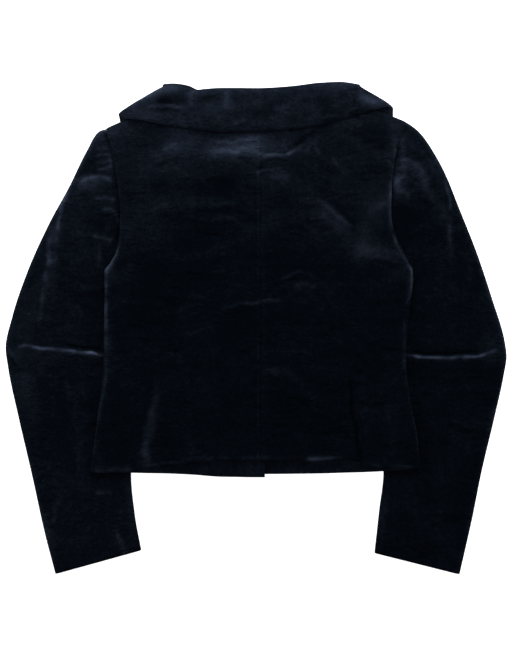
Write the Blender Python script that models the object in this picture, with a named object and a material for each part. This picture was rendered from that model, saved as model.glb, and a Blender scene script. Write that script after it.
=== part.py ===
"""Velvet jacket laid out flat and face down, so that its back shows.

X runs to the right and Y towards the collar as the jacket lies, and Z runs up
from the surface under it. Left and right are as seen from above the back. The
tables are in millimetres and the finished solids in metres.

Every cloth piece is one wall: a middle surface on a grid of points, with half
the cloth's thickness put on each side of it.
"""

import math
from collections import namedtuple

import bpy
import numpy as np
from mathutils import Matrix

MM = 0.001

# The cloth and how it lies
CLOTH = 2.0          # velvet with its backing
SEAM = 0.3           # parting between two sewn pieces
AIR = 3.0            # between the two layers of the body or of a sleeve
LAY = 0.5            # between cloths that only lie on each other
FOLD_REACH = 4.0     # how far in from a folded edge the cloth curves
ROLL = 1.9           # radius of the collar's roll at the back

LOW = CLOTH / 2                      # a layer that rests on the floor
HIGH = LOW + CLOTH + AIR             # the layer above it
OVER_SLEEVE = 2 * CLOTH + AIR + 1.6 * LAY  # what a tucked sleeve lifts the front by
OVER_COLLAR = CLOTH + LAY            # what the turned collar lifts it by
OVER_FRONT = CLOTH + 2 * LAY         # what the right front lifts the left by
AIR_PRESSED = 0.72                   # share of the air gone where the layers pile up

# Slopes between a low and a lifted place: how wide, and where they begin
SLEEVE_SLOPE = 42.0          # beside a tucked sleeve's inner fold, and above its head
SLEEVE_LEAD = 1.35           # of that width lies before the inner fold
SLEEVE_LIFT_TOP = 164.0      # where the lift over a sleeve head has run out
COLLAR_SLOPE = 25.0
COLLAR_CLEAR = 27.0          # the collar's lift runs on this far past its edge
LAP_X = -30.0                # where the left front starts to climb onto the right
LAP_SLOPE = 17.0
CLOSING_HALF = 42.0          # half-width of the ridge along the closing
CLOSING_SLOPE = 28.0
HEAD_RUN = 110.0             # down a sleeve, until its sections are straight
SKEW_RUN = 90.0              # down a sleeve, while its inner fold runs aslant
CLEAR_OF_BODY = 193.0        # half-width outside which a sleeve's folds may rise
FOLD_START = 9.0             # and how soon they do

# The closing, on the side that lies on the floor
BUTTON_RADIUS = 7.5
BUTTON_THICK = 2.6
BUTTON_EDGE = 0.7
BUTTON_HEIGHTS = (88.0, 16.0, -56.0)
BUTTON_X = -1.0
OVER_BUTTON = BUTTON_THICK + SEAM
BUTTON_RUN = 45.0    # the lift runs on this far past the end buttons
BUTTON_SLOPE = 30.0

# Outlines of the body, as half-outlines against Y
Edge = namedtuple("Edge", "y left right")
SIDE = [
    Edge(-190, -213.5, 207.5),
    Edge(-184, -213.0, 207.0),
    Edge(-132, -206.5, 202.0),
    Edge(-93, -201.5, 194.0),
    Edge(-42, -196.5, 189.0),
    Edge(9, -196.0, 191.0),
    Edge(47, -195.0, 196.5),
    Edge(72, -196.5, 198.5),
    Edge(83, -188.0, 193.0),
    Edge(96, -180.5, 186.0),
    Edge(118, -174.5, 174.0),
    Edge(143, -174.0, 168.5),
    Edge(175, -176.5, 169.0),
    Edge(207, -181.0, 172.0),
    Edge(233, -186.0, 177.0),
    Edge(253.5, -194.0, 184.0),
    Edge(262, -198.0, 189.0),
]
UNDERARM_Y = 72.0
ARMHOLE_BLEND = 20.0
PRINCESS = [
    Edge(-184, -149.0, 135.5),
    Edge(-140, -138.0, 130.0),
    Edge(-95, -127.5, 123.0),
    Edge(-58, -115.0, 116.5),
    Edge(-28, -110.0, 110.0),
    Edge(0, -109.5, 107.5),
    Edge(27, -116.5, 110.0),
    Edge(55, -128.0, 117.0),
    Edge(82, -144.0, 130.5),
    Edge(106, -160.5, 150.0),
    Edge(127, -174.2, 171.5),
]
PRINCESS_TOP_Y = 127.0
PRINCESS_FOOT_Y = -176.0
PRINCESS_PART = 1.2 * SEAM   # half of the parting along it, as it runs aslant
NECK_FRONT = [
    Edge(-190, 9.0, -9.0),
    Edge(124, 9.0, -9.0),
    Edge(145, -3.0, 3.0),
    Edge(165, -20.0, 20.0),
    Edge(205, -50.0, 51.0),
    Edge(245, -79.0, 82.0),
    Edge(280, -98.0, 103.5),
    Edge(293, -105.5, 112.0),
]
Corner = namedtuple("Corner", "x y")
FOLD_PART = 1.9 * SEAM       # half of the parting where two layers curve to one seam
SIDE_BLEND = 25.0            # below the underarm, until the side seam is curved fully
SHOULDER_LEAD = 2.0          # the shoulder seam's curve begins this far inside the neck point
SHOULDER_BLEND = 9.0
SHOULDER = {-1: Corner(-194.0, 253.5), 1: Corner(189.0, 262.0)}
NECK_PART = 6 * SEAM         # the fronts stop this far short of the neck point
NECK_POINT = {-1: Corner(-105.5, 293.0), 1: Corner(112.0, 293.0)}
NECK_BACK = [
    Corner(-105.5, 293.0),
    Corner(-80, 285.5),
    Corner(-45, 279.0),
    Corner(0, 276.5),
    Corner(45, 279.0),
    Corner(85, 285.0),
    Corner(112.0, 293.0),
]
HEM_BACK = [
    Corner(-213, -184.5),
    Corner(-164, -183.0),
    Corner(-150, -180.0),
    Corner(-120, -174.5),
    Corner(-88, -171.0),
    Corner(-45, -168.5),
    Corner(0, -168.5),
    Corner(66, -169.5),
    Corner(100, -167.5),
    Corner(122, -168.0),
    Corner(140, -176.5),
    Corner(160, -178.5),
    Corner(207, -179.5),
]
HEM_FRONT = {
    -1: [
        Corner(-213, -184.5),
        Corner(-164, -185.0),
        Corner(-88, -187.0),
        Corner(-45, -189.5),
        Corner(10, -190.0),
    ],
    1: [Corner(-10, -186.0), Corner(80, -185.0), Corner(160, -183.0), Corner(207, -179.5)],
}

# Sleeves: one row for each section, from the sleeve head to the cuff
Ring = namedtuple("Ring", "out_x out_y in_x in_y seam")
SLEEVE = {
    -1: [
        Ring(-194.5, 253.5, -150, 88, 8),
        Ring(-218, 225.5, -149, 72, 8),
        Ring(-241, 179.5, -150, 56, 8),
        Ring(-264, 134.5, -153, 36, 14),
        Ring(-292.5, 73, -156, 12, 27),
        Ring(-311, 15, -158, -12, 36),
        Ring(-322.5, -25, -159, -34, 38),
        Ring(-319.5, -50, -159, -60, 37),
        Ring(-305.5, -116.5, -160, -120, 33),
        Ring(-288.5, -189.5, -163, -186, 29),
        Ring(-273, -260, -158, -240, 26),
        Ring(-259, -314, -150, -284, 24),
    ],
    1: [
        Ring(189.6, 262, 150, 88, 8),
        Ring(227, 219, 149, 70, 8),
        Ring(240, 194.5, 149.5, 60, 8),
        Ring(256.5, 154.5, 152, 44, 13),
        Ring(280, 95.5, 155, 20, 30),
        Ring(299.5, 37, 158, -8, 38),
        Ring(315.5, -17, 159, -34, 40),
        Ring(318, -36, 159, -46, 39),
        Ring(314.5, -60, 159, -68, 38),
        Ring(303, -112.5, 160, -118, 34),
        Ring(286.2, -183.3, 161.5, -184, 30),
        Ring(274.3, -242.4, 156, -233, 27),
        Ring(258, -314.5, 150, -284, 24),
    ],
}
HIND_PART = 0.25     # half of the parting along the hind seam
HEAD = [
    Edge(88, -150.0, 150.0),
    Edge(93, -160.0, 160.0),
    Edge(99, -167.5, 167.5),
    Edge(108, -173.0, 173.5),
    Edge(118, -175.6, 175.4),
    Edge(143, -175.0, 169.8),
    Edge(175, -177.2, 169.7),
    Edge(207, -181.7, 172.7),
    Edge(233, -186.7, 177.7),
    Edge(253.5, -194.5, 184.8),
    Edge(262, -198.5, 189.6),
]

# Collar: neck seam, roll line and free edge of each section; turn is 0 on the
# back, 90 where the collar folds over the shoulder and 180 on the front
Collar = namedtuple("Collar", "neck_x neck_y roll_x roll_y fall_x fall_y turn")
COLLAR = [
    Collar(-26, 172, -17.5, 178.5, -48, 158, 180),
    Collar(-52, 207, -44, 212, -112, 171, 180),
    Collar(-80, 246, -69, 254, -148, 206, 180),
    Collar(-97, 279, -90, 294, -171, 244, 180),
    Collar(-104.5, 291, -108, 309, -176, 265, 180),
    Collar(-105.5, 293, -111, 312.5, -177.5, 271.5, 90),
    Collar(-104, 292.5, -108, 311.5, -175.5, 268.5, 0),
    Collar(-95, 289, -98, 310.5, -150, 264, 0),
    Collar(-80, 285.5, -84, 307, -112, 257, 0),
    Collar(-62, 282, -70, 302.5, -76, 250.5, 0),
    Collar(-45, 279, -52, 306, -46, 247.5, 0),
    Collar(0, 276.5, 0, 305.3, 0, 246.5, 0),
    Collar(45, 279, 42, 308, 42, 248.5, 0),
    Collar(80, 284, 80, 312.5, 80, 254, 0),
    Collar(98, 288, 105, 313.5, 118, 262, 0),
    Collar(110.5, 292.5, 126, 310.5, 168.5, 272.5, 0),
    Collar(112, 293, 129, 311, 171.5, 277, 90),
    Collar(111, 291, 116, 307, 169.5, 269, 180),
    Collar(103, 279, 98, 294, 165, 246, 180),
    Collar(83, 246, 72, 254, 146, 206, 180),
    Collar(53, 207, 45, 212, 112, 171, 180),
    Collar(26, 172, 17.5, 178.5, 48, 158, 180),
]
SHOULDER_SECTIONS = (5, 16)   # where it turns over the shoulders
COLLAR_PART = 1.6            # the most it keeps clear of the body's neck edge
FALL_BULGE = 0.9             # how far the fall stands off between its roll and edge
FOLD_PRESS = 0.45            # share of the cloth's thickness that its tightest folds press out
SHOULDER_OUT = {-1: (-0.52, 0.854, 0.0), 1: (0.62, 0.785, 0.0)}
Reach = namedtuple("Reach", "y x")
COLLAR_REACH = [
    Reach(108, -27),
    Reach(124, 8),
    Reach(138, 52),
    Reach(146, 90),
    Reach(158, 124),
    Reach(196, 160),
    Reach(240, 182),
    Reach(320, 186),
]

# Large folds of the back and of the sleeves: a crest from one end to the
# other, its height at both ends, and how wide it is on its left and right
Crease = namedtuple("Crease", "x0 y0 x1 y1 h0 h1 left right")
BACK_FOLDS = [
    Crease(-118, -58, -142, -180, 0.5, 5.5, 9, 17),
    Crease(117, -50, 137, -180, -0.8, -2.0, 9, 8),
    Crease(128, -56, 150, -180, 0.5, 3.0, 8, 16),
    Crease(30, -58, 88, -108, 0.4, 2.0, 10, 14),
    Crease(-32, 229, 40, 227, 1.6, 1.6, 8, 8),
    Crease(50, 190, 130, 108, 1.6, 1.0, 16, 18),
    Crease(-58, 66, 66, 54, 1.4, 1.2, 9, 9),
    Crease(-40, 30, 40, 27, 1.0, 1.2, 9, 9),
]
CREASE_FADE = 0.24   # share of a crest's length over which each end fades
SLEEVE_FOLDS = {
    -1: [Crease(-316, -26, -203, -35, 2.0, 3.8, 30, 6)],
    1: [Crease(203, -42, 314, -29, 3.8, 2.0, 6, 30)],
}

VELVET = ("velvet", (0.006, 0.008, 0.013), 0.85)
BUTTON = ("button", (0.010, 0.012, 0.018), 0.55)


def through(knots, values, at):
    """A smooth curve through the knots that never overshoots them."""
    k, f = np.asarray(knots, float), np.asarray(values, float)
    step, rise = np.diff(k), np.diff(f)
    slope = rise / step
    tangent = np.zeros_like(f)
    tangent[0], tangent[-1] = slope[0], slope[-1]
    same = slope[:-1] * slope[1:] > 0
    w1, w2 = 2 * step[1:] + step[:-1], step[1:] + 2 * step[:-1]
    blend = np.zeros_like(w1)
    blend[same] = (w1 + w2)[same] / (w1[same] / slope[:-1][same] + w2[same] / slope[1:][same])
    tangent[1:-1] = blend
    at = np.clip(np.asarray(at, float), k[0], k[-1])
    i = np.clip(np.searchsorted(k, at, side="right") - 1, 0, len(k) - 2)
    s = (at - k[i]) / step[i]
    return (
        f[i] * (1 + 2 * s) * (1 - s) ** 2
        + tangent[i] * step[i] * s * (1 - s) ** 2
        + f[i + 1] * s * s * (3 - 2 * s)
        + tangent[i + 1] * step[i] * s * s * (s - 1)
    )


def column(rows, name):
    return [getattr(row, name) for row in rows]


def edge_x(rows, side, y):
    return through(column(rows, "y"), column(rows, "left" if side < 0 else "right"), y)


def corner_y(rows, x):
    return through(column(rows, "x"), column(rows, "y"), x)


def ease(s):
    s = np.clip(s, 0.0, 1.0)
    return s * s * (3 - 2 * s)


def rounded(distance):
    """Share of a fold's half-height reached at a distance in from its edge."""
    s = np.clip(distance / FOLD_REACH, 0.0, 1.0)
    return np.sqrt(1 - (1 - s) ** 2)


def side_outline(side, y):
    """Middle of the cloth at the body's side and armhole."""
    return edge_x(SIDE, side, y) - side * LOW * ease((UNDERARM_Y - y) / ARMHOLE_BLEND + 1)


def top_of_back(x):
    """Neck seam between the neck points and straight shoulder seams outside."""
    y = corner_y(NECK_BACK, x)
    for side in (-1, 1):
        neck, tip = NECK_POINT[side], SHOULDER[side]
        line = neck.y + (x - neck.x) * (tip.y - neck.y) / (tip.x - neck.x)
        y = np.where(side * x > side * neck.x, line, y)
    return y


def princess_foot(side):
    return corner_y(HEM_BACK, edge_x(PRINCESS, side, PRINCESS_FOOT_Y))


def sleeve_inner(side, y):
    rows = SLEEVE[side][::-1]
    return through(column(rows, "in_y"), column(rows, "in_x"), y)


def over_sleeve(x, y):
    """Share of the lift where the body lies on a tucked sleeve."""
    lift = np.zeros_like(x)
    for side in (-1, 1):
        inner = side * sleeve_inner(side, y)
        lift = np.maximum(lift, ease((side * x - inner) / SLEEVE_SLOPE + SLEEVE_LEAD))
    return lift * ease((SLEEVE_LIFT_TOP - y) / SLEEVE_SLOPE)


def over_collar(x, y):
    reach = through(column(COLLAR_REACH, "y"), column(COLLAR_REACH, "x"), y)
    return ease((reach + COLLAR_CLEAR - np.abs(x)) / COLLAR_SLOPE)


def over_buttons(x, y):
    """Share of the lift along the closing, which rests on its buttons."""
    low = ease((y - BUTTON_HEIGHTS[-1] + BUTTON_RUN) / BUTTON_SLOPE)
    high = ease((BUTTON_HEIGHTS[0] + BUTTON_RUN - y) / BUTTON_SLOPE)
    return low * high * ease((CLOSING_HALF - np.abs(x)) / CLOSING_SLOPE)


def front_height(side, x, y):
    """Middle of a front panel above the floor."""
    height = LOW + OVER_SLEEVE * over_sleeve(x, y) + OVER_COLLAR * over_collar(x, y)
    height = height + OVER_BUTTON * over_buttons(x, y)
    if side < 0:
        height = height + OVER_FRONT * ease((x - LAP_X) / LAP_SLOPE)
    return height


def closing_ridge(x, y):
    lap = ease((CLOSING_HALF - np.abs(x)) / CLOSING_SLOPE)
    return OVER_FRONT * lap + OVER_BUTTON * over_buttons(x, y)


def fold_relief(folds, x, y):
    """Sum of crests, each falling away as a bell curve on its two sides."""
    relief = np.zeros_like(x)
    for f in folds:
        run = np.array([f.x1 - f.x0, f.y1 - f.y0])
        length = np.hypot(*run)
        ex, ey = run / length
        along = ((x - f.x0) * ex + (y - f.y0) * ey) / length
        across = (x - f.x0) * -ey + (y - f.y0) * ex
        width = np.where(across > 0, f.left, f.right)
        fade = ease(along / CREASE_FADE + 0.5) * ease((1 - along) / CREASE_FADE + 0.5)
        height = f.h0 + (f.h1 - f.h0) * np.clip(along, 0, 1)
        relief += height * fade * np.exp(-((across / width) ** 2))
    return relief


def back_height(x, y):
    """Middle of the back above the floor: what lies under it, then air."""
    sleeve, ridge = over_sleeve(x, y), closing_ridge(x, y)
    air = AIR * (1 - AIR_PRESSED * np.maximum(sleeve, ridge / (OVER_FRONT + OVER_BUTTON)))
    under = LOW + OVER_SLEEVE * sleeve + OVER_COLLAR * over_collar(x, y) + ridge
    relief = np.maximum(fold_relief(BACK_FOLDS, x, y), LAY - air)
    return under + CLOTH + air + relief


def patch(left, right, bottom, top, u, v):
    """Grid between four edge curves, each given as a function of 0 to 1."""
    w, one = np.zeros_like(u), np.ones_like(u)
    p = (1 - u)[..., None] * left(v) + u[..., None] * right(v)
    p += (1 - v)[..., None] * bottom(u) + v[..., None] * top(u)
    p -= ((1 - u) * (1 - v))[..., None] * left(w) + (u * (1 - v))[..., None] * right(w)
    p -= ((1 - u) * v)[..., None] * left(one) + (u * v)[..., None] * right(one)
    return p


def plan(x, y):
    return np.stack(np.broadcast_arrays(x, y), axis=-1).astype(float)


def mix(a, b, s):
    return a + (b - a) * s


SIDE_ROWS = 14
FOLD_STEPS = FOLD_REACH * (1 - np.cos(np.radians([90, 62, 34, 0])))


def toward_fold(count, length):
    """Steps from 0 to 1 that close up where the last few curve into a fold."""
    flat = np.linspace(0, 1, count, endpoint=False)
    reach = 1 - FOLD_STEPS / length
    return np.concatenate([flat * reach[0], reach])


def to_shoulder(side, x, y, height, other):
    """Curves a layer's height down, or up, to the shoulder seam."""
    neck, tip = NECK_POINT[side], SHOULDER[side]
    run = np.array([tip.x - neck.x, tip.y - neck.y])
    run = run / np.hypot(*run)
    away = np.abs((x - tip.x) * -run[1] + (y - tip.y) * run[0])
    share = ease((side * (x - neck.x) + SHOULDER_LEAD) / SHOULDER_BLEND)
    mid = (height + other) / 2 + np.sign(height - other) * FOLD_PART
    return mix(mix(mid, height, rounded(away)), height, 1 - share)


def to_side(away, y, height, other):
    """Curves a layer's height down, or up, to the side seam."""
    parting = FOLD_PART + 2 * SEAM * ease((y - UNDERARM_Y) / SIDE_BLEND + 1)
    mid = (height + other) / 2 + np.sign(height - other) * parting
    amount = ease((UNDERARM_Y - y) / SIDE_BLEND - 0.25)
    return mix(height, mix(mid, height, rounded(away)), amount)


def back_centre(side):
    top_y = SHOULDER[side].y - SEAM
    foot = princess_foot(side)

    def outer(y):
        seam = edge_x(PRINCESS, side, y) - side * PRINCESS_PART
        return np.where(y < PRINCESS_TOP_Y, seam, edge_x(SIDE, side, y))

    def left(v):
        return plan(side * SEAM / 2, mix(corner_y(HEM_BACK, 0.0), corner_y(NECK_BACK, 0.0) - SEAM / 2, v))

    def right(v):
        y = mix(foot, top_y, v)
        return plan(outer(y), y)

    def bottom(u):
        x = mix(side * SEAM / 2, outer(foot), u)
        return plan(x, corner_y(HEM_BACK, x))

    def top(u):
        x = mix(side * SEAM / 2, outer(top_y), u)
        return plan(x, top_of_back(x) - SEAM / 2)

    # below the armhole its rows are those of the side panel
    turn = (PRINCESS_TOP_Y - foot) / (top_y - foot)
    rows = np.concatenate([np.linspace(0, turn, SIDE_ROWS), mix(turn, 1, toward_fold(7, 125)[1:])])
    v, u = np.meshgrid(rows, np.linspace(0, 1, 11), indexing="ij")
    p = patch(left, right, bottom, top, u, v)
    x, y = p[..., 0], p[..., 1]
    z = to_shoulder(side, x, y, back_height(x, y), front_height(side, x, y))
    return np.dstack([x, y, z])


def back_side(side):
    foot_y = princess_foot(side)
    foot_x = edge_x(PRINCESS, side, foot_y) + side * PRINCESS_PART
    corner = corner_y(HEM_BACK, side_outline(side, SIDE[0].y))

    def left(v):
        y = mix(foot_y, PRINCESS_TOP_Y, v)
        return plan(edge_x(PRINCESS, side, y) + side * PRINCESS_PART, y)

    def right(v):
        y = mix(corner, UNDERARM_Y, v)
        return plan(side_outline(side, y), y)

    def bottom(u):
        x = mix(foot_x, side_outline(side, corner), u)
        return plan(x, corner_y(HEM_BACK, x))

    def top(u):
        y = mix(PRINCESS_TOP_Y, UNDERARM_Y, u)
        return plan(side_outline(side, y) + side * PRINCESS_PART * (1 - u), y)

    v, u = np.meshgrid(np.linspace(0, 1, SIDE_ROWS), toward_fold(6, 72), indexing="ij")
    p = patch(left, right, bottom, top, u, v)
    x, y = p[..., 0], p[..., 1]
    away = side * (side_outline(side, y) - x)
    z = to_side(away, y, back_height(x, y), front_height(side, x, y))
    return np.dstack([x, y, z])


def front(side):
    hem = HEM_FRONT[side]
    start, neck, tip = edge_x(NECK_FRONT, side, SIDE[0].y), NECK_POINT[side], SHOULDER[side]
    foot, corner = corner_y(hem, start), corner_y(hem, side_outline(side, SIDE[0].y))
    top_y, neck_y = tip.y - SEAM, neck.y - NECK_PART

    def left(v):
        y = mix(foot, neck_y, v)
        return plan(edge_x(NECK_FRONT, side, y), y)

    def right(v):
        y = mix(corner, top_y, v)
        return plan(side_outline(side, y), y)

    def bottom(u):
        x = mix(start, side_outline(side, corner), u)
        return plan(x, corner_y(hem, x))

    def top(u):
        return plan(mix(left(1.0)[0], right(1.0)[0], u), mix(neck_y, top_y, u))

    # below the underarm its rows are those of the back
    turn = (UNDERARM_Y - corner) / (top_y - corner)
    rows = np.concatenate([np.linspace(0, turn, SIDE_ROWS), mix(turn, 1, toward_fold(9, 180)[1:])])
    v, u = np.meshgrid(rows, toward_fold(10, 190), indexing="ij")
    p = patch(left, right, bottom, top, u, v)
    x, y = p[..., 0], p[..., 1]
    away = side * (side_outline(side, y) - x)
    own, other = front_height(side, x, y), back_height(x, y)
    z = to_side(away, y, own, other)
    z = np.where(y > SLEEVE_LIFT_TOP, to_shoulder(side, x, y, own, other), z)
    return np.dstack([x, y, z])


def sleeve_sections(side, steps):
    """Outer edge, inner edge and seam distance of the sections in between."""
    rows = SLEEVE[side]
    mid = np.array([((r.out_x + r.in_x) / 2, (r.out_y + r.in_y) / 2) for r in rows])
    run = np.concatenate([[0], np.cumsum(np.hypot(*np.diff(mid, axis=0).T))])
    at = steps * run[-1]
    return at, {name: through(run, column(rows, name), at) for name in Ring._fields}


def sleeve_point(side, at, ring, reach):
    """Place on a flattened sleeve; reach is 0 on the outer fold, counts up
    along the upper layer and down along the lower one."""
    out = plan(ring["out_x"] - side * LOW, ring["out_y"])
    inn = plan(ring["in_x"], ring["in_y"])
    width = np.hypot(*(inn - out).T)[:, None]
    upper = reach >= 0
    d = np.clip(np.abs(reach), 0, width)
    s = d / width
    p = mix(out[:, None, :], inn[:, None, :], s[..., None])
    # the first sections follow the curve of the sleeve head
    head_y = mix(ring["out_y"][0], ring["in_y"][0], s)
    head = plan(edge_x(HEAD, side, head_y), head_y)
    straight = mix(out[0], inn[0], s[..., None])
    p = p + (head - straight) * (1 - ease(at / HEAD_RUN))[:, None, None]
    x, y = p[..., 0], p[..., 1]
    relief = fold_relief(SLEEVE_FOLDS[side], x, y)
    top = HIGH + relief * ease((side * x - CLEAR_OF_BODY) / FOLD_START)
    mid = (top + LOW) / 2
    z = mix(mid, np.where(upper, top, LOW), rounded(d) * rounded(width - d))
    parting = SEAM * (3 - 2 * ease(at / SKEW_RUN))[:, None] * np.where(upper, 1, -1)
    inner_parting = np.where(width - d < 0.01, parting, 0.0)
    return np.dstack([x, y, z + inner_parting])


SLEEVE_STEPS = np.concatenate(
    [np.linspace(0, 0.42, 9), [0.455, 0.48, 0.51], np.linspace(0.56, 1, 7)]
)


def sleeve_under(side):
    """Upper layer as it lies, from the hind seam to the inner fold."""
    at, ring = sleeve_sections(side, SLEEVE_STEPS)
    width = np.hypot(ring["in_x"] - ring["out_x"] + side * LOW, ring["in_y"] - ring["out_y"])
    u = toward_fold(8, 140)
    start = ring["seam"] + HIND_PART
    return sleeve_point(side, at, ring, start[:, None] + (width - start)[:, None] * u)


def sleeve_top(side):
    """From the hind seam over the outer fold and along the floor."""
    at, ring = sleeve_sections(side, SLEEVE_STEPS)
    width = np.hypot(ring["in_x"] - ring["out_x"] + side * LOW, ring["in_y"] - ring["out_y"])
    start = (ring["seam"] - HIND_PART)[:, None]
    strip = mix(start, FOLD_STEPS[0] * 0.9, np.array([0, 0.5, 1.0]))
    curve = np.broadcast_to(
        np.concatenate([FOLD_STEPS[1:], -FOLD_STEPS[2::-1]]), (len(at), 6)
    )
    floor = -mix(FOLD_STEPS[0], width[:, None], toward_fold(6, 140)[1:])
    return sleeve_point(side, at, ring, np.concatenate([strip, curve, floor], axis=1))


def collar():
    """Stand, roll and fall of each section, wrapped over both shoulders."""
    index = np.arange(len(COLLAR))
    turns = np.array(column(COLLAR, "turn"))
    steps = [0.0]
    for i in index[:-1]:
        parts = 3 if turns[i] != turns[i + 1] else 2
        steps += list(i + np.arange(1, parts + 1) / parts)
    at = np.array(steps)
    c = {name: through(index, column(COLLAR, name), at) for name in Collar._fields}
    side = np.where(c["fall_x"] < 0, -1, 1)
    turn = np.radians(c["turn"])
    share = (1 + np.cos(turn)) / 2

    # the neck edge keeps clear of the body's
    ny = np.where(c["turn"] < 90, np.maximum(c["neck_y"], corner_y(NECK_BACK, c["neck_x"])), c["neck_y"])
    nx = c["neck_x"]
    clear = np.where(side < 0, edge_x(NECK_FRONT, -1, ny), edge_x(NECK_FRONT, 1, ny))
    nx = np.where(c["turn"] > 90, clear - side * COLLAR_PART * (1 - share), nx)
    tip = plan(c["roll_x"] - nx, c["roll_y"] - ny)
    tip = tip / np.linalg.norm(tip, axis=-1, keepdims=True)
    parting = COLLAR_PART * (0.5 + 1.25 * np.sin(turn) + 0.25 * (1 - share))
    neck = plan(nx, ny) + tip * parting[:, None]
    z_back = back_height(nx, ny)
    z_front = np.where(side < 0, front_height(-1, nx, ny), front_height(1, nx, ny))
    neck_z = mix(z_front, z_back, share)

    radius = mix((z_front - LOW) / 2, ROLL, share)
    roll_z = neck_z + radius * np.cos(turn)
    centre = plan(c["roll_x"], c["roll_y"]) - tip * (radius + LOW)[:, None]
    up = np.array([0, 0, 1.0]) * np.cos(turn)[:, None]
    outward = np.where((side < 0)[:, None], SHOULDER_OUT[-1], SHOULDER_OUT[1])
    across = np.column_stack([side * tip[:, 1], -side * tip[:, 0], np.zeros(len(at))])
    over = outward * np.sin(turn)[:, None] + up
    bend = across * np.sin(turn)[:, None] + up

    def solid(flat, z):
        return np.column_stack([flat, z])

    fall_top = back_height(c["fall_x"], c["fall_y"]) + CLOTH + LAY
    fall = solid(plan(c["fall_x"], c["fall_y"]), mix(np.full_like(share, LOW), fall_top, share))
    roll = solid(centre, roll_z)
    tip3 = solid(tip, np.zeros(len(at)))
    reach = radius[:, None]
    low, high = roll - bend * reach, roll + bend * reach
    start = solid(neck, neck_z)
    half = math.sqrt(0.5)
    lines = [start, mix(start, low, 0.5), low]
    lines += [roll + (tip3 - bend) * reach * half, roll + tip3 * reach, roll + (tip3 + bend) * reach * half]
    lines += [high]
    for s in (0.25, 0.5, 0.75, 1.0):
        bulge = FALL_BULGE * math.sin(math.pi * s) * share[:, None]
        lines.append(mix(high, fall, s) + over * bulge)
    on_roll = np.array([0, 0.3, 1, 1, 1, 1, 1, 0.3, 0, 0, 0])
    at_shoulder = np.minimum(np.abs(at - SHOULDER_SECTIONS[0]), np.abs(at - SHOULDER_SECTIONS[1]))
    near_neck = np.array([1, 1, 1, 0, 0, 0, 0, 0, 0, 0, 0]) * ease(2.2 - at_shoulder)[:, None]
    half = LOW * (1 - FOLD_PRESS * np.maximum(on_roll, near_neck))
    return np.stack(lines, axis=1), half


def wall(name, mid, look, half=None):
    """Closed solid: half the cloth on each side of the grid, and its rim."""
    half = np.full(mid.shape[:2], LOW) if half is None else half
    du = np.gradient(mid, axis=1, edge_order=2)
    dv = np.gradient(mid, axis=0, edge_order=2)
    normal = np.cross(du, dv)
    normal /= np.linalg.norm(normal, axis=-1, keepdims=True)
    rows, cols = mid.shape[:2]
    count = rows * cols
    off = normal * half[..., None]
    points = np.concatenate([(mid + off).reshape(-1, 3), (mid - off).reshape(-1, 3)])
    grid = np.arange(count).reshape(rows, cols)
    quad = np.stack([grid[:-1, :-1], grid[:-1, 1:], grid[1:, 1:], grid[1:, :-1]], axis=-1).reshape(-1, 4)
    loop = np.concatenate([grid[0, :-1], grid[:-1, -1], grid[-1, :0:-1], grid[:0:-1, 0]])
    after = np.roll(loop, -1)
    rim = np.stack([after, loop, loop + count, after + count], axis=-1)
    faces = np.concatenate([quad, quad[:, ::-1] + count, rim])
    return add(name, points, faces, look)


def add(name, points, faces, look):
    mesh = bpy.data.meshes.new(name)
    mesh.from_pydata((points * MM).tolist(), [], faces.tolist())
    mesh.validate()
    item = bpy.data.objects.new(name, mesh)
    bpy.context.scene.collection.objects.link(item)
    item.data.materials.append(surface(*look))
    return item


def surface(name, colour, rough):
    material = bpy.data.materials.get(name) or bpy.data.materials.new(name)
    material.use_nodes = True
    shader = material.node_tree.nodes["Principled BSDF"]
    shader.inputs["Base Color"].default_value = (*colour, 1)
    shader.inputs["Roughness"].default_value = rough
    return material


def button(name, y):
    """Flat round button with a softened rim, turned about Z."""
    profile = [
        (0, 0), (BUTTON_RADIUS - BUTTON_EDGE, 0), (BUTTON_RADIUS, BUTTON_EDGE),
        (BUTTON_RADIUS, BUTTON_THICK - BUTTON_EDGE), (BUTTON_RADIUS - BUTTON_EDGE, BUTTON_THICK),
        (0, BUTTON_THICK),
    ]
    turn = np.linspace(0, 2 * math.pi, 20, endpoint=False)
    points = [(BUTTON_X, y, 0.0)]
    for radius, z in profile[1:-1]:
        points += [(BUTTON_X + radius * math.cos(a), y + radius * math.sin(a), z) for a in turn]
    points.append((BUTTON_X, y, BUTTON_THICK))
    n, last = len(turn), len(points) - 1
    faces = []
    for i in range(n):
        j = (i + 1) % n
        faces.append((0, 1 + j, 1 + i))
        for k in range(len(profile) - 3):
            a = 1 + k * n
            faces.append((a + i, a + j, a + n + j, a + n + i))
        faces.append((last, last - n + i, last - n + j))
    mesh = bpy.data.meshes.new(name)
    mesh.from_pydata((np.array(points) * MM).tolist(), [], faces)
    item = bpy.data.objects.new(name, mesh)
    bpy.context.scene.collection.objects.link(item)
    item.data.materials.append(surface(*BUTTON))
    return item


def outward(item):
    """Turns every face of a solid outwards if its volume comes out negative."""
    mesh = item.data
    mesh.calc_loop_triangles()
    co = np.array([v.co[:] for v in mesh.vertices])
    tri = np.array([t.vertices[:] for t in mesh.loop_triangles])
    a, b, c = co[tri[:, 0]], co[tri[:, 1]], co[tri[:, 2]]
    if np.einsum("ij,ij->i", a, np.cross(b, c)).sum() < 0:
        mesh.flip_normals()


def centre(items):
    """Puts the origin under the middle of the whole jacket, at floor level."""
    co = np.concatenate([[v.co[:] for v in item.data.vertices] for item in items])
    low, high = co.min(axis=0), co.max(axis=0)
    for item in items:
        item.data.transform(Matrix.Translation((-(low[0] + high[0]) / 2, -(low[1] + high[1]) / 2, -low[2])))


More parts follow.
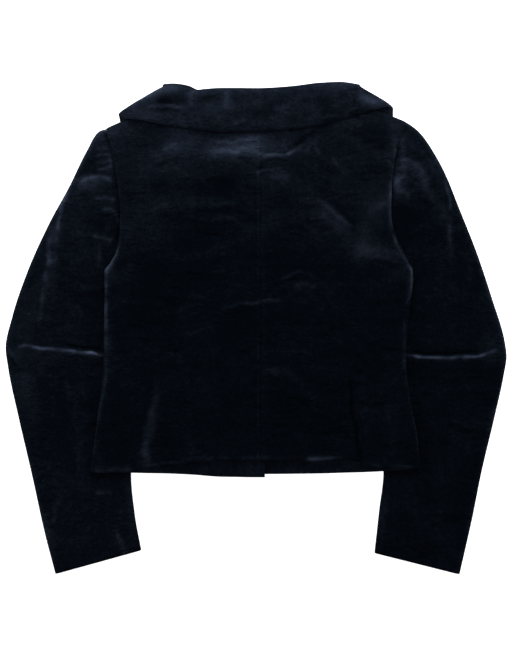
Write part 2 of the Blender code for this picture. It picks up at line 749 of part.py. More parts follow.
def build():
    for item in list(bpy.data.objects):
        bpy.data.objects.remove(item)
    items = []
    for side, word in ((-1, "left"), (1, "right")):
        items.append(wall(f"back_centre_{word}", back_centre(side), VELVET))
        items.append(wall(f"back_side_{word}", back_side(side), VELVET))
        items.append(wall(f"front_{word}", front(side), VELVET))
        items.append(wall(f"sleeve_under_{word}", sleeve_under(side), VELVET))
        items.append(wall(f"sleeve_top_{word}", sleeve_top(side), VELVET))
    mid, half = collar()
    items.append(wall("collar", mid, VELVET, half))
    for number, y in enumerate(BUTTON_HEIGHTS, 1):
        items.append(button(f"button_{number}", y))
    for item in items:
        outward(item)
    centre(items)


build()
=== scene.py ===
"""The velvet jacket as it looks: lying flat, face down, on a pale floor.

Sizes are in millimetres as the jacket lies, X to the right, Y towards the
collar and Z up from the floor, and become metres where a mesh is made. Left and
right are as seen from above the back, and a side is -1 or 1 for them. Each cloth
piece is one sheet, worked out as a middle surface on a grid and given half the
cloth's thickness on each side.
"""

import math
from collections import namedtuple

import bpy
import numpy as np
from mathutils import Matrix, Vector


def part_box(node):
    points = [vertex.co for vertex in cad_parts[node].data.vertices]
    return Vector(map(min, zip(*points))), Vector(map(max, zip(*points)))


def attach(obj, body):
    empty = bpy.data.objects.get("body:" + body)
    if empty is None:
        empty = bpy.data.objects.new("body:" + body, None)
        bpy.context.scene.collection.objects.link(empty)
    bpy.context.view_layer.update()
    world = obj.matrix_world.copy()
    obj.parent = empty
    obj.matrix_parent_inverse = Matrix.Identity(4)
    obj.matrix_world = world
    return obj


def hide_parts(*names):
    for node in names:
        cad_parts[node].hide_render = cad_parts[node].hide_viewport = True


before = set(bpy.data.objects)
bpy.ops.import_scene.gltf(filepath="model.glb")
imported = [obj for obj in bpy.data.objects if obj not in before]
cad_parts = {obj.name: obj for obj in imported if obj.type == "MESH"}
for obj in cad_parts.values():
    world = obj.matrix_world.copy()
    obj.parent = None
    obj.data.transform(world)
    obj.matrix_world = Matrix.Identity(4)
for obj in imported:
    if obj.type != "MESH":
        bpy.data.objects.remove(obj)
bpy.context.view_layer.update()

MM = 0.001

# The cloth and how it lies
CLOTH = 2.0          # velvet with its backing
SEAM = 0.3           # parting between two sewn pieces
AIR = 3.0            # between the two layers of the body or of a sleeve
LAY = 0.5            # between cloths that only lie on each other
FOLD_REACH = 4.0     # how far in from a folded edge of the body the cloth curves
SLEEVE_REACH = 6.0   # and of a sleeve
ROLL = 1.9           # radius of the collar's roll at the back
LOW = CLOTH / 2
HIGH = LOW + CLOTH + AIR
OVER_SLEEVE = 2 * CLOTH + AIR + 1.6 * LAY
OVER_COLLAR = CLOTH + LAY
OVER_FRONT = CLOTH + 2 * LAY
AIR_PRESSED = 0.72   # share of the air that sleeves and the closing press out

# Slopes between a low and a lifted place
SLEEVE_SLOPE = 42.0
SLEEVE_LEAD = 1.35   # how many slopes before a sleeve's inner edge the body starts to rise
SLEEVE_LIFT_TOP = 164.0
COLLAR_SLOPE = 25.0
COLLAR_CLEAR = 27.0
BACK_SLOPE = 90.0
BACK_SLOPE_FOOT = 30.0
LAP_X = -30.0
LAP_SLOPE = 17.0
CLOSING_HALF = 42.0
CLOSING_SLOPE = 28.0
HEAD_RUN = 110.0     # along a sleeve, until its sections are straight
HEAD_PART = 3.0      # how much wider the parting at its inner fold is at the head
SKEW_RUN = 90.0      # along a sleeve, until that parting is the usual one
CLEAR_OF_BODY = 193.0  # outside this X a sleeve's creases begin,
CLEAR_TOP = 100.0    # and above this Y outside the armhole
FOLD_START = 9.0     # how soon they reach their height
TOUCH = 0.01         # nearer than this is at the fold itself

# The closing
BUTTON_THICK = 2.6
BUTTON_HEIGHTS = (88.0, 16.0, -56.0)
BUTTON_X = -1.0
OVER_BUTTON = BUTTON_THICK + SEAM
BUTTON_RUN = 45.0
BUTTON_SLOPE = 30.0

# Fineness of the meshes
SHOWN = 1.4          # between two points where the cloth shows
HIDDEN = 6.0         # and where it lies underneath
FOLD_STEPS = 1 - np.cos(np.radians(np.linspace(90, 0, 9)))
BACK_FINER = 1.25    # more columns across the back, since it widens upwards
FRONT_LENGTH, FRONT_WIDTH = 430.0, 200.0
FRONT_HEM_SHARE, FRONT_HEM_ROWS = 0.05, 14
SLEEVE_LENGTH = 590.0
SLEEVE_SHOWN = 0.72  # share of a sleeve's upper layer that shows beside the body
SHOWN_WIDTH, TUCKED_WIDTH, FLOOR_WIDTH = 90.0, 35.0, 140.0
FLOOR_SPACING = 1.5 * HIDDEN
STRIP_COLUMNS = 20   # from a sleeve's hind seam to its outer fold
STRIP_END = 0.98
COLLAR_LEAST = 14    # fewest sections between two rows of the collar's table
STAND_STEPS, ROLL_STEPS, FALL_STEPS = 6, 11, 28
FALL_EDGE = 0.1      # share of the fall where the steps close up towards its edge
SHARP = 65.0         # degrees between faces that keep a sharp edge

# Outlines of the body, against Y
Edge = namedtuple("Edge", "y left right")
SIDE = [
    Edge(-190, -213.5, 207.5), Edge(-184, -213.0, 207.0), Edge(-132, -206.5, 202.0),
    Edge(-93, -201.5, 194.0), Edge(-42, -196.5, 189.0), Edge(9, -196.0, 191.0), Edge(47, -195.0, 196.5),
    Edge(72, -196.5, 198.5), Edge(83, -188.0, 193.0), Edge(96, -180.5, 186.0), Edge(118, -174.5, 174.0),
    Edge(143, -174.0, 168.5), Edge(175, -176.5, 169.0), Edge(207, -181.0, 172.0),
    Edge(233, -186.0, 177.0), Edge(253.5, -194.0, 184.0), Edge(262, -198.0, 189.0),
]
UNDERARM_Y = 72.0
ARMHOLE_BLEND = 20.0
PRINCESS = [
    Edge(-184, -149.0, 135.5), Edge(-140, -138.0, 130.0), Edge(-95, -127.5, 123.0),
    Edge(-58, -115.0, 116.5), Edge(-28, -110.0, 110.0), Edge(0, -109.5, 107.5), Edge(27, -116.5, 110.0),
    Edge(55, -128.0, 117.0), Edge(82, -144.0, 130.5), Edge(106, -160.5, 150.0), Edge(127, -174.2, 171.5),
]
PRINCESS_TOP_Y = 127.0
PRINCESS_FOOT_Y = -176.0
SEWN = 0.03          # half the parting of a sewn seam
NECK_FRONT = [
    Edge(-190, 9.0, -9.0), Edge(124, 9.0, -9.0), Edge(145, -3.0, 3.0), Edge(165, -20.0, 20.0),
    Edge(205, -50.0, 51.0), Edge(245, -79.0, 82.0), Edge(280, -98.0, 103.5), Edge(293, -105.5, 112.0),
]
Corner = namedtuple("Corner", "x y")
FOLD_PART = 1.9 * SEAM  # where a fold brings two pieces together
SIDE_BLEND = 25.0
SIDE_LEAD = 0.25     # share of that below the armhole where the side isn't folded yet
SHOULDER_LEAD = 2.0
SHOULDER_BLEND = 9.0
SHOULDER = {-1: Corner(-194.0, 253.5), 1: Corner(189.0, 262.0)}
NECK_PART = 6 * SEAM
NECK_POINT = {-1: Corner(-105.5, 293.0), 1: Corner(112.0, 293.0)}
# neck and hems, against X
NECK_BACK = {-105.5: 293.0, -80: 285.5, -45: 279.0, 0: 276.5, 45: 279.0, 85: 285.0, 112.0: 293.0}
HEM_BACK = {
    -213: -184.5, -164: -183.0, -150: -180.0, -120: -174.5, -88: -171.0, -45: -168.5, 0: -168.5,
    66: -169.5, 100: -167.5, 122: -168.0, 140: -176.5, 160: -178.5, 207: -179.5,
}
HEM_FRONT = {
    -1: {-213: -184.5, -164: -185.0, -88: -187.8, -45: -190.8, 10: -191.3},
    1: {-10: -187.5, 80: -186.5, 160: -183.0, 207: -179.5},
}

# Sleeves: one row for each section, from the sleeve head to the cuff
Ring = namedtuple("Ring", "out_x out_y in_x in_y seam")
SLEEVE = {
    -1: [
        Ring(-194.5, 253.5, -150, 88, 8), Ring(-202.5, 250, -149.7, 82, 8),
        Ring(-218, 225.5, -149, 72, 8), Ring(-241, 179.5, -150, 56, 8), Ring(-266, 134.5, -153, 36, 14),
        Ring(-294, 73, -156, 12, 27), Ring(-313.8, 15, -158, -12, 36), Ring(-322.5, -25, -159, -34, 38),
        Ring(-319.5, -50, -159, -60, 37), Ring(-305.5, -116.5, -160, -120, 33),
        Ring(-288.5, -189.5, -163, -186, 29), Ring(-273, -260, -158, -240, 26),
        Ring(-259, -314, -150, -284, 24),
    ],
    1: [
        Ring(188.0, 263.2, 150, 88, 8), Ring(205.5, 249.5, 149.6, 80.5, 8), Ring(227, 219, 149, 70, 8),
        Ring(240, 194.5, 149.5, 60, 8), Ring(256.5, 154.5, 152, 44, 13), Ring(280, 95.5, 155, 20, 30),
        Ring(299.5, 37, 158, -8, 38), Ring(315.5, -17, 159, -34, 40), Ring(318, -36, 159, -46, 39),
        Ring(314.5, -60, 159, -68, 38), Ring(303, -112.5, 160, -118, 34),
        Ring(286.2, -183.3, 161.5, -184, 30), Ring(274.3, -242.4, 156, -233, 27),
        Ring(258, -314.5, 150, -287.5, 24),
    ],
}
# curve of the sleeve head, against Y
HEAD = [
    Edge(88, -150.0, 150.0), Edge(93, -159.0, 159.0), Edge(99, -164.5, 164.0), Edge(108, -167.5, 166.5),
    Edge(118, -168.5, 167.0), Edge(130, -169.5, 167.2), Edge(135, -172.0, 168.0),
    Edge(139, -174.0, 169.0), Edge(143, -175.0, 169.8), Edge(175, -177.2, 169.7),
    Edge(207, -181.7, 172.7), Edge(233, -186.7, 177.7), Edge(253.5, -194.5, 184.8),
    Edge(263.2, -199.0, 188.0),
]

# Collar: neck seam, roll line and free edge of each section; turn is 0 on the
# back, 90 where the collar folds over the shoulder and 180 on the front
Collar = namedtuple("Collar", "neck_x neck_y roll_x roll_y fall_x fall_y turn")
COLLAR = [
    Collar(-26, 172, -17.5, 178.5, -48, 158, 180), Collar(-52, 207, -44, 212, -112, 171, 180),
    Collar(-80, 246, -69, 254, -148, 206, 180), Collar(-97, 279, -90, 294, -171, 244, 180),
    Collar(-104.5, 291, -108, 309, -176, 265, 180), Collar(-105.5, 293, -121, 310.5, -178, 273, 90),
    Collar(-104, 292.5, -108, 311.5, -175.5, 268.5, 0), Collar(-95, 289, -98, 310.5, -150, 265.5, 0),
    Collar(-80, 285.5, -88.5, 308.5, -112, 257.5, 0), Collar(-74, 284.3, -76.5, 303.6, -95, 255, 0),
    Collar(-60, 281.6, -66, 304.6, -70, 252, 0), Collar(-40, 278.6, -44, 305.8, -42, 249.5, 0),
    Collar(0, 276.5, 0, 305.3, 0, 249.5, 0), Collar(45, 279, 42, 308, 42, 253, 0),
    Collar(80, 284, 80, 312.5, 80, 259.5, 0), Collar(98, 288, 105, 313.5, 118, 268.5, 0),
    Collar(110.5, 292.5, 126.5, 310.5, 165, 282.5, 0), Collar(112, 293, 130.5, 309.5, 173, 279.5, 90),
    Collar(111, 291, 116, 307, 172.5, 268, 180), Collar(103, 279, 98, 294, 165, 246, 180),
    Collar(83, 246, 72, 254, 146, 206, 180), Collar(53, 207, 45, 212, 112, 171, 180),
    Collar(26, 172, 17.5, 178.5, 48, 158, 180),
]
FOLDED = 90          # the turn at the shoulder
COLLAR_PART = 1.6    # parting of the neck seam, and the shares of it on the back,
PART_BACK, PART_SHOULDER, PART_FRONT = 0.5, 1.25, 0.25  # over the shoulder and on the front
FALL_BULGE = 0.9
CREASE_CLEAR = 8.0   # near the free edge, creases fade over this
# ways out from the shoulders, where the collar folds over them
SHOULDER_OUT = {-1: (-0.52, 0.854, 0.0), 1: (0.62, 0.785, 0.0)}
# how far out the collar's front ends lie under the body, against Y
COLLAR_REACH = {108: -27, 124: 8, 138: 52, 146: 90, 158: 124, 196: 160, 240: 182, 320: 186}

# Creases: the path of each crest (or trough, with a height below zero), its
# height from one end to the other, how wide it is to the left and right of
# someone who walks along it, and the painted highlight along it (painted shade where it is below zero)
Fold = namedtuple("Fold", "path height left right shine")
ELBOW = {
    -1: [(-312, -34), (-307, -27), (-299, -22), (-273, -27), (-235, -31), (-196, -35)],
    1: [(189, -36), (207, -38), (239, -38), (268, -38), (285, -35), (303, -29), (316, -26)],
}
BACK_FOLDS = [
    # below the collar
    Fold([(-3, 221), (8, 219), (28, 219), (40, 222), (51, 228), (66, 236)], (1.0, 1.4, 1.0), 2, 5,
         (0.30, 0.44, 0.34, 0.12, 0.05)),
    Fold([(-66, 236), (-40, 236), (-17, 238), (8, 241)], (0.6, 1.0, 0.8), 2.2, 3, 0.16),
    Fold([(-64, 226), (-43, 224), (-18, 223)], 0.9, 2.4, 3, 0.14),
    Fold([(-28, 217), (-3, 215)], -0.8, 2.5, 2.5, -0.10),
    Fold([(94, 264), (68, 247), (48, 232), (33, 224)], (-0.8, -1.4, -0.8), 3, 3, -0.12),
    Fold([(60, 221), (65, 229), (69, 237)], 0.6, 2, 2, 0.12),
    Fold([(69, 237), (74, 229), (79, 218)], 0.6, 2, 2, 0.12),
    Fold([(92, 218), (102, 206), (113, 190)], 0.8, 2, 2, 0.16),
    Fold([(-68, 207), (-46, 208)], -0.6, 2, 2, -0.07),
    Fold([(-3, 201), (11, 204)], -0.7, 2, 2, -0.09),
    Fold([(-4, 197), (11, 200), (24, 201)], 0.7, 1.8, 2.4, 0.14),
    Fold([(4, 203), (22, 196), (46, 186)], 0.8, 8, 8, 0.05),
    Fold([(-136, 214), (-107, 229), (-71, 245)], 1.0, 8, 8, 0.07),
    Fold([(-122, 223), (-111, 231), (-101, 237)], 0.7, 2.2, 2.6, 0.10),
    Fold([(-128, 202), (-113, 211), (-92, 210)], -0.6, 2.4, 2.4, -0.05),
    Fold([(-109, 204), (-97, 199), (-86, 192)], 0.7, 2.4, 2.8, 0.08),
    # over the shoulder blades
    Fold([(70, 172), (84, 158), (102, 142), (121, 124)], (1.0, 2.0, 1.6), 3, 14, (0.08, 0.14, 0.12)),
    Fold([(88, 164), (106, 148), (127, 122)], (-0.6, -1.0, -0.6), 3, 3, -0.08),
    Fold([(64, 138), (80, 139), (93, 138)], 0.6, 2, 3, 0.08),
    Fold([(140, 140), (152, 153), (163, 159)], 0.6, 4, 4, 0.08),
    Fold([(118, 82), (136, 90), (162, 87), (184, 82)], (0.9, 1.5, 1.2), 9, 2.6, 0.06),
    Fold([(163, 213), (173, 203)], 0.6, 2, 2, 0.14),
    Fold([(-111, 181), (-68, 183), (-24, 181)], -1.0, 8, 8, -0.05),
    Fold([(-66, 156), (-45, 156), (-22, 157)], 0.6, 2.4, 2.4, 0.07),
    Fold([(-80, 149), (-47, 149), (-8, 146)], -0.8, 3, 3, -0.07),
    Fold([(-77, 140), (-44, 138), (-11, 134)], 0.7, 4, 5, 0.05),
    Fold([(-139, 145), (-126, 154), (-111, 150)], 0.6, 2.6, 3, 0.07),
    Fold([(-124, 157), (-114, 157)], 0.5, 1.6, 1.6, 0.12),
    Fold([(-66, 99), (-54, 95), (-41, 91)], 0.6, 2, 2.4, 0.07),
    # across the waist
    Fold([(-51, 21), (-29, 28), (-3, 32), (17, 35), (38, 36)], (0.9, 1.4, 1.0), 2.2, 5, 0.19),
    Fold([(-39, 18), (-13, 21), (10, 24)], -0.7, 2.2, 2.2, -0.05),
    Fold([(7, 42), (22, 52), (38, 59), (56, 61)], -1.0, 2.2, 2.2, -0.06),
    Fold([(43, 51), (60, 55), (76, 51)], 1.0, 2.9, 2.9, 0.16),
    Fold([(24, 58), (38, 64), (53, 69), (74, 61)], 0.9, 2.2, 2.2, 0.13),
    Fold([(71, 47), (81, 36), (93, 21)], -0.7, 2.2, 2.2, -0.04),
    Fold([(63, 44), (75, 31), (85, 18)], 0.6, 2.2, 2.2, 0.05),
    Fold([(-71, 65), (-54, 70), (-36, 70)], 0.7, 2.2, 2.2, 0.06),
    Fold([(-65, 58), (-36, 55), (-8, 51)], 0.6, 2.9, 2.9, 0.04),
    Fold([(-95, -12), (-70, -5), (-47, 0)], 0.6, 2.9, 2.9, 0.05),
    Fold([(-130, 37), (-121, 22), (-113, 9)], 0.6, 2.9, 2.9, 0.04),
    # towards the hem
    Fold([(-1, -51), (20, -56), (40, -60), (53, -73), (67, -88), (88, -105)], (0.7, 1.6, 1.4), 5, 8, 0.08),
    Fold([(63, -99), (76, -105), (89, -113)], 0.6, 2.2, 2.2, 0.05),
    Fold([(-66, -105), (-57, -97), (-47, -90)], 0.6, 2.2, 2.2, 0.05),
    Fold([(-123, -55), (-130, -85), (-135, -109), (-139, -135), (-143, -159), (-147, -184)],
         (0.6, 2.0, 3.2, 4.4, 5.2), 5, 16, (0.06, 0.14, 0.20, 0.26, 0.28)),
    Fold([(-133, -60), (-140, -92), (-147, -125), (-152, -160)], (-0.4, -0.8, -0.8), 4, 4, -0.06),
    Fold([(116, -55), (120, -93), (126, -132), (134, -180)], (-1.2, -2.2, -3.0, -3.2), 3.4, 3.4, -0.14),
    Fold([(124, -59), (129, -93), (135, -132), (143, -180)], (0.6, 1.4, 2.2, 3.0), 12, 6, 0.05),
    Fold([(110, -50), (113, -93), (119, -132), (124, -172)], 0.8, 4, 4, 0.05),
    Fold([(-88, -91), (-86, -132), (-85, -175)], 0.5, 2.9, 2.9, 0.05),
    Fold([(166, -91), (170, -132), (172, -175)], 0.5, 6, 6, 0.05),
]
SLEEVE_FOLDS = {
    -1: [
        Fold(ELBOW[-1], (1.6, 2.8, 3.2, 3.0), 1.5, 20, (0.34, 0.40, 0.38, 0.42, 0.40)),
        Fold([(-221, -32.5), (-196, -35), (-170, -37)], 0, 1.5, 1.5, 0.34),
        Fold([(-254, -22), (-222, -25), (-196, -28)], -1.4, 1.8, 1.8, -0.15),
        Fold([(-323, -19), (-313, -37), (-298, -52)], (0.8, 1.2, 0.6), 2.2, 2.2, 0.10),
        Fold([(-319, -32), (-312, -45), (-300, -56)], -0.8, 1.8, 1.8, -0.08),
        # puckers along the armhole
        Fold([(-206, 228), (-190, 229)], 0.6, 1.6, 1.6, 0.14),
        Fold([(-208, 220), (-187, 221)], 0.7, 1.6, 1.6, 0.20),
        Fold([(-209, 211), (-185, 213)], 0.8, 1.6, 1.6, 0.24),
        Fold([(-209, 202), (-198, 203), (-184, 206)], 0.7, 1.8, 1.8, 0.20),
        Fold([(-230, 179), (-216, 191), (-203, 192), (-183, 187)], (0.8, 1.4, 1.4, 1.0), 2.9, 8, 0.32),
        Fold([(-209, 164), (-195, 165), (-181, 161)], 0.7, 2.2, 2.2, 0.14),
        Fold([(-204, 152), (-191, 151), (-181, 145), (-179, 129)], 0.8, 2.2, 2.2, 0.14),
        Fold([(-204, 145), (-188, 142)], -0.7, 2.2, 2.2, -0.08),
        Fold([(-212, 116), (-198, 115), (-184, 111)], 0.8, 2.2, 2.2, 0.20),
        Fold([(-207, 108), (-188, 102)], -0.6, 2.2, 2.2, -0.06),
        Fold([(-202, 112), (-202, 92), (-203, 72)], 0.5, 1.8, 1.8, 0.14),
        # along the hind seam
        Fold([(-244, 178), (-249, 156), (-253, 137), (-255, 118)], (0.6, 0.9, 0.6), 2.2, 2.2,
             (0.40, 0.34, 0.20)),
        Fold([(-262, 134), (-266, 105), (-267, 83), (-272, 54), (-276, 28), (-280, -12)], 0.5, 3, 3,
             (0.34, 0.32, 0.16, 0.10)),
        Fold([(-271, 83), (-262, 86), (-253, 90)], 0.6, 2.2, 2.2, 0.12),
        # below the elbow
        Fold([(-243, -72), (-241, -83), (-240, -96)], 0.6, 2.9, 2.9, 0.10),
        Fold([(-235, -74), (-234, -106), (-235, -134)], 0.5, 2.9, 2.9, 0.05),
        Fold([(-250, -206), (-257, -232), (-263, -255)], 0.6, 2.9, 2.9, 0.08),
        Fold([(-209, -212), (-198, -211), (-186, -210)], 0.7, 2.2, 2.2, 0.14),
        Fold([(-182, -247), (-179, -262), (-172, -279), (-166, -293)], (0.8, 1.4, 1.6), 2.9, 5, 0.22),
    ],
    1: [
        Fold(ELBOW[1], (3.0, 3.2, 2.8, 1.6), 1.5, 20, (0.40, 0.46, 0.40, 0.46, 0.30)),
        Fold([(165, -34), (189, -36), (211, -38)], 0, 1.5, 1.5, 0.34),
        Fold([(189, -31), (220, -33), (258, -33), (284, -29)], -1.4, 1.8, 1.8, -0.20),
        # from the armhole round to the hind seam
        Fold([(171, 206), (181, 210), (193, 211), (207, 198), (220, 173), (232, 151), (245, 140)],
             (1.2, 1.8, 1.8, 1.2), 5, 8, (0.26, 0.24, 0.14, 0.10)),
        Fold([(173, 181), (182, 189), (193, 195)], 0.8, 2.9, 2.9, 0.14),
        Fold([(172, 169), (184, 173), (196, 165)], 1.0, 2.9, 2.9, 0.20),
        Fold([(180, 160), (187, 136), (185, 107)], -1.4, 11, 13, -0.10),
        Fold([(189, 116), (202, 122), (212, 134)], 0.8, 2.9, 2.9, 0.08),
        Fold([(236, 191), (244, 165), (246, 147)], 0.6, 1.8, 1.8, 0.28),
        Fold([(245, 140), (246, 111), (244, 83)], 0.5, 2.2, 2.2, (0.24, 0.24, 0.12)),
        Fold([(230, 145), (241, 141), (252, 134)], 0.6, 2.2, 2.2, 0.12),
    ],
}
COLLAR_FOLDS = [
    # the left end, folded back on itself
    Fold([(-146, 279), (-118, 281), (-86, 280)], (0.8, 1.4, 0.9), 1.9, 4, 0.22),
    Fold([(-140, 288), (-112, 286), (-88, 288)], -0.9, 4, 4, -0.06),
    Fold([(-84, 302), (-86, 280)], 0.9, 3, 3, 0.14),
    Fold([(-165, 279), (-142, 297), (-122, 309)], 0.3, 3, 3, 0.20),
    # the middle
    Fold([(-40, 303), (-40, 277)], 0.8, 3, 3, 0.26),
    Fold([(-33, 259), (-24, 262), (-14, 264)], 0.5, 1.8, 1.8, 0.13),
    # the right end
    Fold([(14, 261), (34, 278), (59, 294), (70, 298)], (0.6, 1.0, 0.8), 6, 6, 0.10),
    Fold([(72, 262), (92, 269), (117, 275), (138, 282)], 0.4, 2, 2, 0.11),
]
CREASE_FADE = 0.18   # share of a path over which its ends fade
CREASE_STEP, CREASE_LEAST = 4.0, 6  # length and least number of a path's samples
CREASE_REACH = 3     # widths from a path where its bell curve is over

# Crumple of the cloth: heights of its ridges against their wave lengths, and
# how much of it there is against Y
RIDGES = {58: 0.70, 33: 0.52, 19: 0.38, 11: 0.24, 6.5: 0.12}
DRAWN_OUT = 1.7      # how much longer than wide its ridges lie across the back
BACK_CRUMPLE = {-190: 0.45, -60: 0.55, 60: 0.75, 130: 1.0, 290: 1.0}
SLEEVE_CRUMPLE = {-320: 0.55, -40: 0.6, 80: 0.8, 250: 1.0}
COLLAR_CRUMPLE = 1.3
# painted highlight on the crumple's ridges and painted shade in its hollows
CRUMPLE_SHINE = 0.16
WANDER = 1.5         # how far creases stray from their paths
WANDER_LENGTH = 13.0
CRUMPLE_SWAY, SWAY_LENGTH = 5.0, 29.0  # how far and in what waves the ridges are bent
RIDGE_MEAN, RIDGE_ROUND = 0.62, 0.01   # level taken off, and how round a crest is
LATTICE, LATTICE_START = 128, (64.37, 64.71)
STRAY_SEEDS = (1, 2)
BACK_SEED, SLEEVE_SEED, COLLAR_SEED = 30, {-1: 40, 1: 60}, 90

# Painted sheen and shade on the pile, 0 dark and 1 as light as the sheen of rubbed velvet gets:
# painted patches of light and shade as turned ellipses, then levels and rims against Y
LightPatch = namedtuple("LightPatch", "x y wide tall turn light")
LIGHT_PATCHES = {
    "back": [
        LightPatch(-18, 233, 26, 13, 0, 0.32), LightPatch(-45, 228, 26, 13, 3, 0.22), LightPatch(28, 229, 22, 10, 0, 0.08),
        LightPatch(-113, 220, 34, 22, 30, 0.08), LightPatch(28, 198, 20, 12, -25, 0.09),
        LightPatch(-43, 184, 40, 12, 0, -0.09), LightPatch(94, 138, 32, 11, -42, 0.16), LightPatch(150, 150, 30, 40, 10, 0.07),
        LightPatch(135, 106, 12, 24, -10, 0.14), LightPatch(150, 97, 36, 9, -4, 0.14), LightPatch(-162, 76, 14, 10, 0, 0.10),
        LightPatch(-190, 82, 6, 15, -35, 0.28), LightPatch(-34, 237, 18, 6, 0, -0.14), LightPatch(-165, 250, 26, 8, 15, 0.10),
        LightPatch(-184, 254, 12, 8, 30, 0.14), LightPatch(170, 258, 20, 8, -8, 0.08), LightPatch(-6, 222, 12, 8, 0, 0.18),
        LightPatch(-2, 194, 8, 10, 0, 0.09), LightPatch(54, 174, 18, 14, 0, 0.08), LightPatch(124, 92, 8, 8, 0, 0.07),
        LightPatch(108, 124, 12, 7, -30, 0.07), LightPatch(118, 234, 36, 18, 0, -0.07), LightPatch(98, 196, 28, 14, 0, -0.07),
        LightPatch(138, 172, 20, 26, 0, -0.09), LightPatch(-148, 192, 14, 20, 0, 0.08), LightPatch(172, 178, 6, 12, 0, 0.08),
        LightPatch(176, 228, 5, 24, 8, 0.12), LightPatch(-178, 180, 5, 18, 0, 0.08), LightPatch(-188, 72, 9, 8, 0, 0.12),
        LightPatch(-191, -20, 8, 30, 0, 0.10), LightPatch(-205, -160, 6, 22, 8, 0.08), LightPatch(-190, -180, 22, 7, 0, 0.08),
        LightPatch(-146, -172, 8, 12, 0, 0.12), LightPatch(-76, -169, 14, 5, 0, 0.07), LightPatch(76, -168, 24, 5, 0, 0.12),
        LightPatch(114, -172, 8, 6, 0, 0.08),
    ],
    "sleeve": [
        LightPatch(-214, 186, 18, 8, 0, 0.18), LightPatch(-287, 54, 15, 70, -15, 0.10),
        LightPatch(-295, -83, 15, 34, 12, 0.10), LightPatch(-280, -37, 28, 10, 0, 0.08), LightPatch(179, 186, 9, 16, 0, 0.26),
        LightPatch(299, -20, 18, 13, 0, 0.10), LightPatch(-230, 195, 12, 7, 0, -0.12), LightPatch(-200, 199, 9, 7, 0, -0.10),
        LightPatch(-216, 180, 12, 6, 20, 0.08), LightPatch(-192, 110, 10, 6, 20, 0.10), LightPatch(-196, 256, 14, 8, 30, 0.10),
        LightPatch(-283, 78, 10, 50, -18, -0.08), LightPatch(-270, 95, 6, 13, -18, -0.08),
        LightPatch(-257, 117, 6, 11, 0, 0.20), LightPatch(-261, 65, 6, 24, 0, 0.07), LightPatch(-280, 42, 7, 16, -15, -0.07),
        LightPatch(-303, -31, 9, 8, 0, 0.08), LightPatch(-161, -225, 7, 50, 5, 0.12), LightPatch(-270, -255, 6, 20, 14, 0.10),
        LightPatch(246, 170, 9, 28, 20, -0.07), LightPatch(190, 220, 12, 6, -20, -0.12), LightPatch(201, 211, 9, 8, 0, -0.12),
        LightPatch(184, 228, 5, 22, 8, 0.16), LightPatch(-185, 225, 5, 22, -8, 0.12), LightPatch(-200, 246, 5, 9, -10, 0.16),
        LightPatch(196, 62, 6, 16, 0, -0.12), LightPatch(180, 206, 7, 6, 0, 0.10), LightPatch(186, 193, 5, 5, 0, -0.09),
        LightPatch(208, 190, 7, 20, 25, 0.10), LightPatch(230, 198, 8, 14, 25, 0.08), LightPatch(190, 205, 10, 4, 0, 0.08),
        LightPatch(294, -38, 14, 12, 0, 0.11), LightPatch(159, -245, 7, 36, -4, 0.14),
    ],
    "collar": [
        LightPatch(-113, 305, 16, 6, 10, 0.22), LightPatch(-107, 291, 20, 7, 0, -0.07), LightPatch(-60, 286, 26, 13, 0, 0.07),
        LightPatch(-63, 291, 13, 5, 8, -0.14), LightPatch(170, 278, 9, 7, 0, 0.45), LightPatch(144, 290, 17, 7, -14, 0.36),
        LightPatch(-172, 266, 16, 9, 15, 0.20), LightPatch(-105, 263, 36, 8, -6, 0.12),
        LightPatch(-150, 268, 24, 10, 12, 0.12), LightPatch(-138, 295, 22, 8, 32, 0.15),
        LightPatch(-127, 297, 12, 7, 32, 0.10), LightPatch(-80, 298, 14, 9, 0, 0.14), LightPatch(-30, 305, 30, 5, 0, 0.08),
        LightPatch(106, 310, 26, 5, 0, 0.10), LightPatch(22, 258, 24, 8, 0, 0.10), LightPatch(38, 291, 26, 12, 25, -0.16),
    ],
}
# painted light and shade of each piece against Y, the back lightest towards the collar
BACK_LEVEL = {-190: 0.045, 0: 0.03, 80: 0.04, 160: 0.065, 240: 0.13}
SLEEVE_LEVEL = {
    -1: {-320: 0.10, -40: 0.08, 60: 0.065, 240: 0.11},
    1: {-320: 0.05, -40: 0.035, 60: 0.025, 240: 0.095},
}
COLLAR_LEVEL = {150: 0.05, 245: 0.12, 285: 0.12, 305: 0.20}
# painted highlights on the edges of the body, down each armhole and side
BODY_RIM = {
    -1: Fold([(-187, 246), (-186, 214), (-182, 163), (-179, 129), (-180, 98), (-187, 83), (-193, 70),
              (-193, 35), (-193, -17), (-193, -55), (-198, -90), (-204, -119), (-208, -151), (-212, -184)],
             0, 2, 2, (0.18, 0.20, 0.20, 0.44, 0.30, 0.26, 0.16, 0.20, 0.12, 0.14)),
    1: Fold([(178, 232), (173, 210), (170, 188), (169, 163), (169, 137), (174, 114), (188, 86), (196, 70),
             (195, 47), (189, 29), (186, -4), (186, -42), (190, -74), (197, -105), (201, -132), (206, -180)],
            0, 2, 2, (0.18, 0.36, 0.20, 0.32, 0.24, 0.10, 0.06, 0.12, 0.10)),
}
# painted highlights along the hems
HEM_RIM = [
    Fold([(56, -168), (79, -168), (98, -166), (116, -166)], 0, 2.2, 2.2, 0.36),
    Fold([(-154, -179), (-139, -176), (-111, -172), (-75, -169)], 0, 2.5, 2.5, 0.18),
    Fold([(-85, -169), (-40, -167), (0, -167), (60, -168)], 0, 3, 3, 0.12),
    Fold([(-213, -183), (-190, -182), (-156, -181)], 0, 3, 3, 0.18),
    Fold([(110, -167), (135, -173), (165, -177), (205, -178)], 0, 3, 3, 0.12),
]
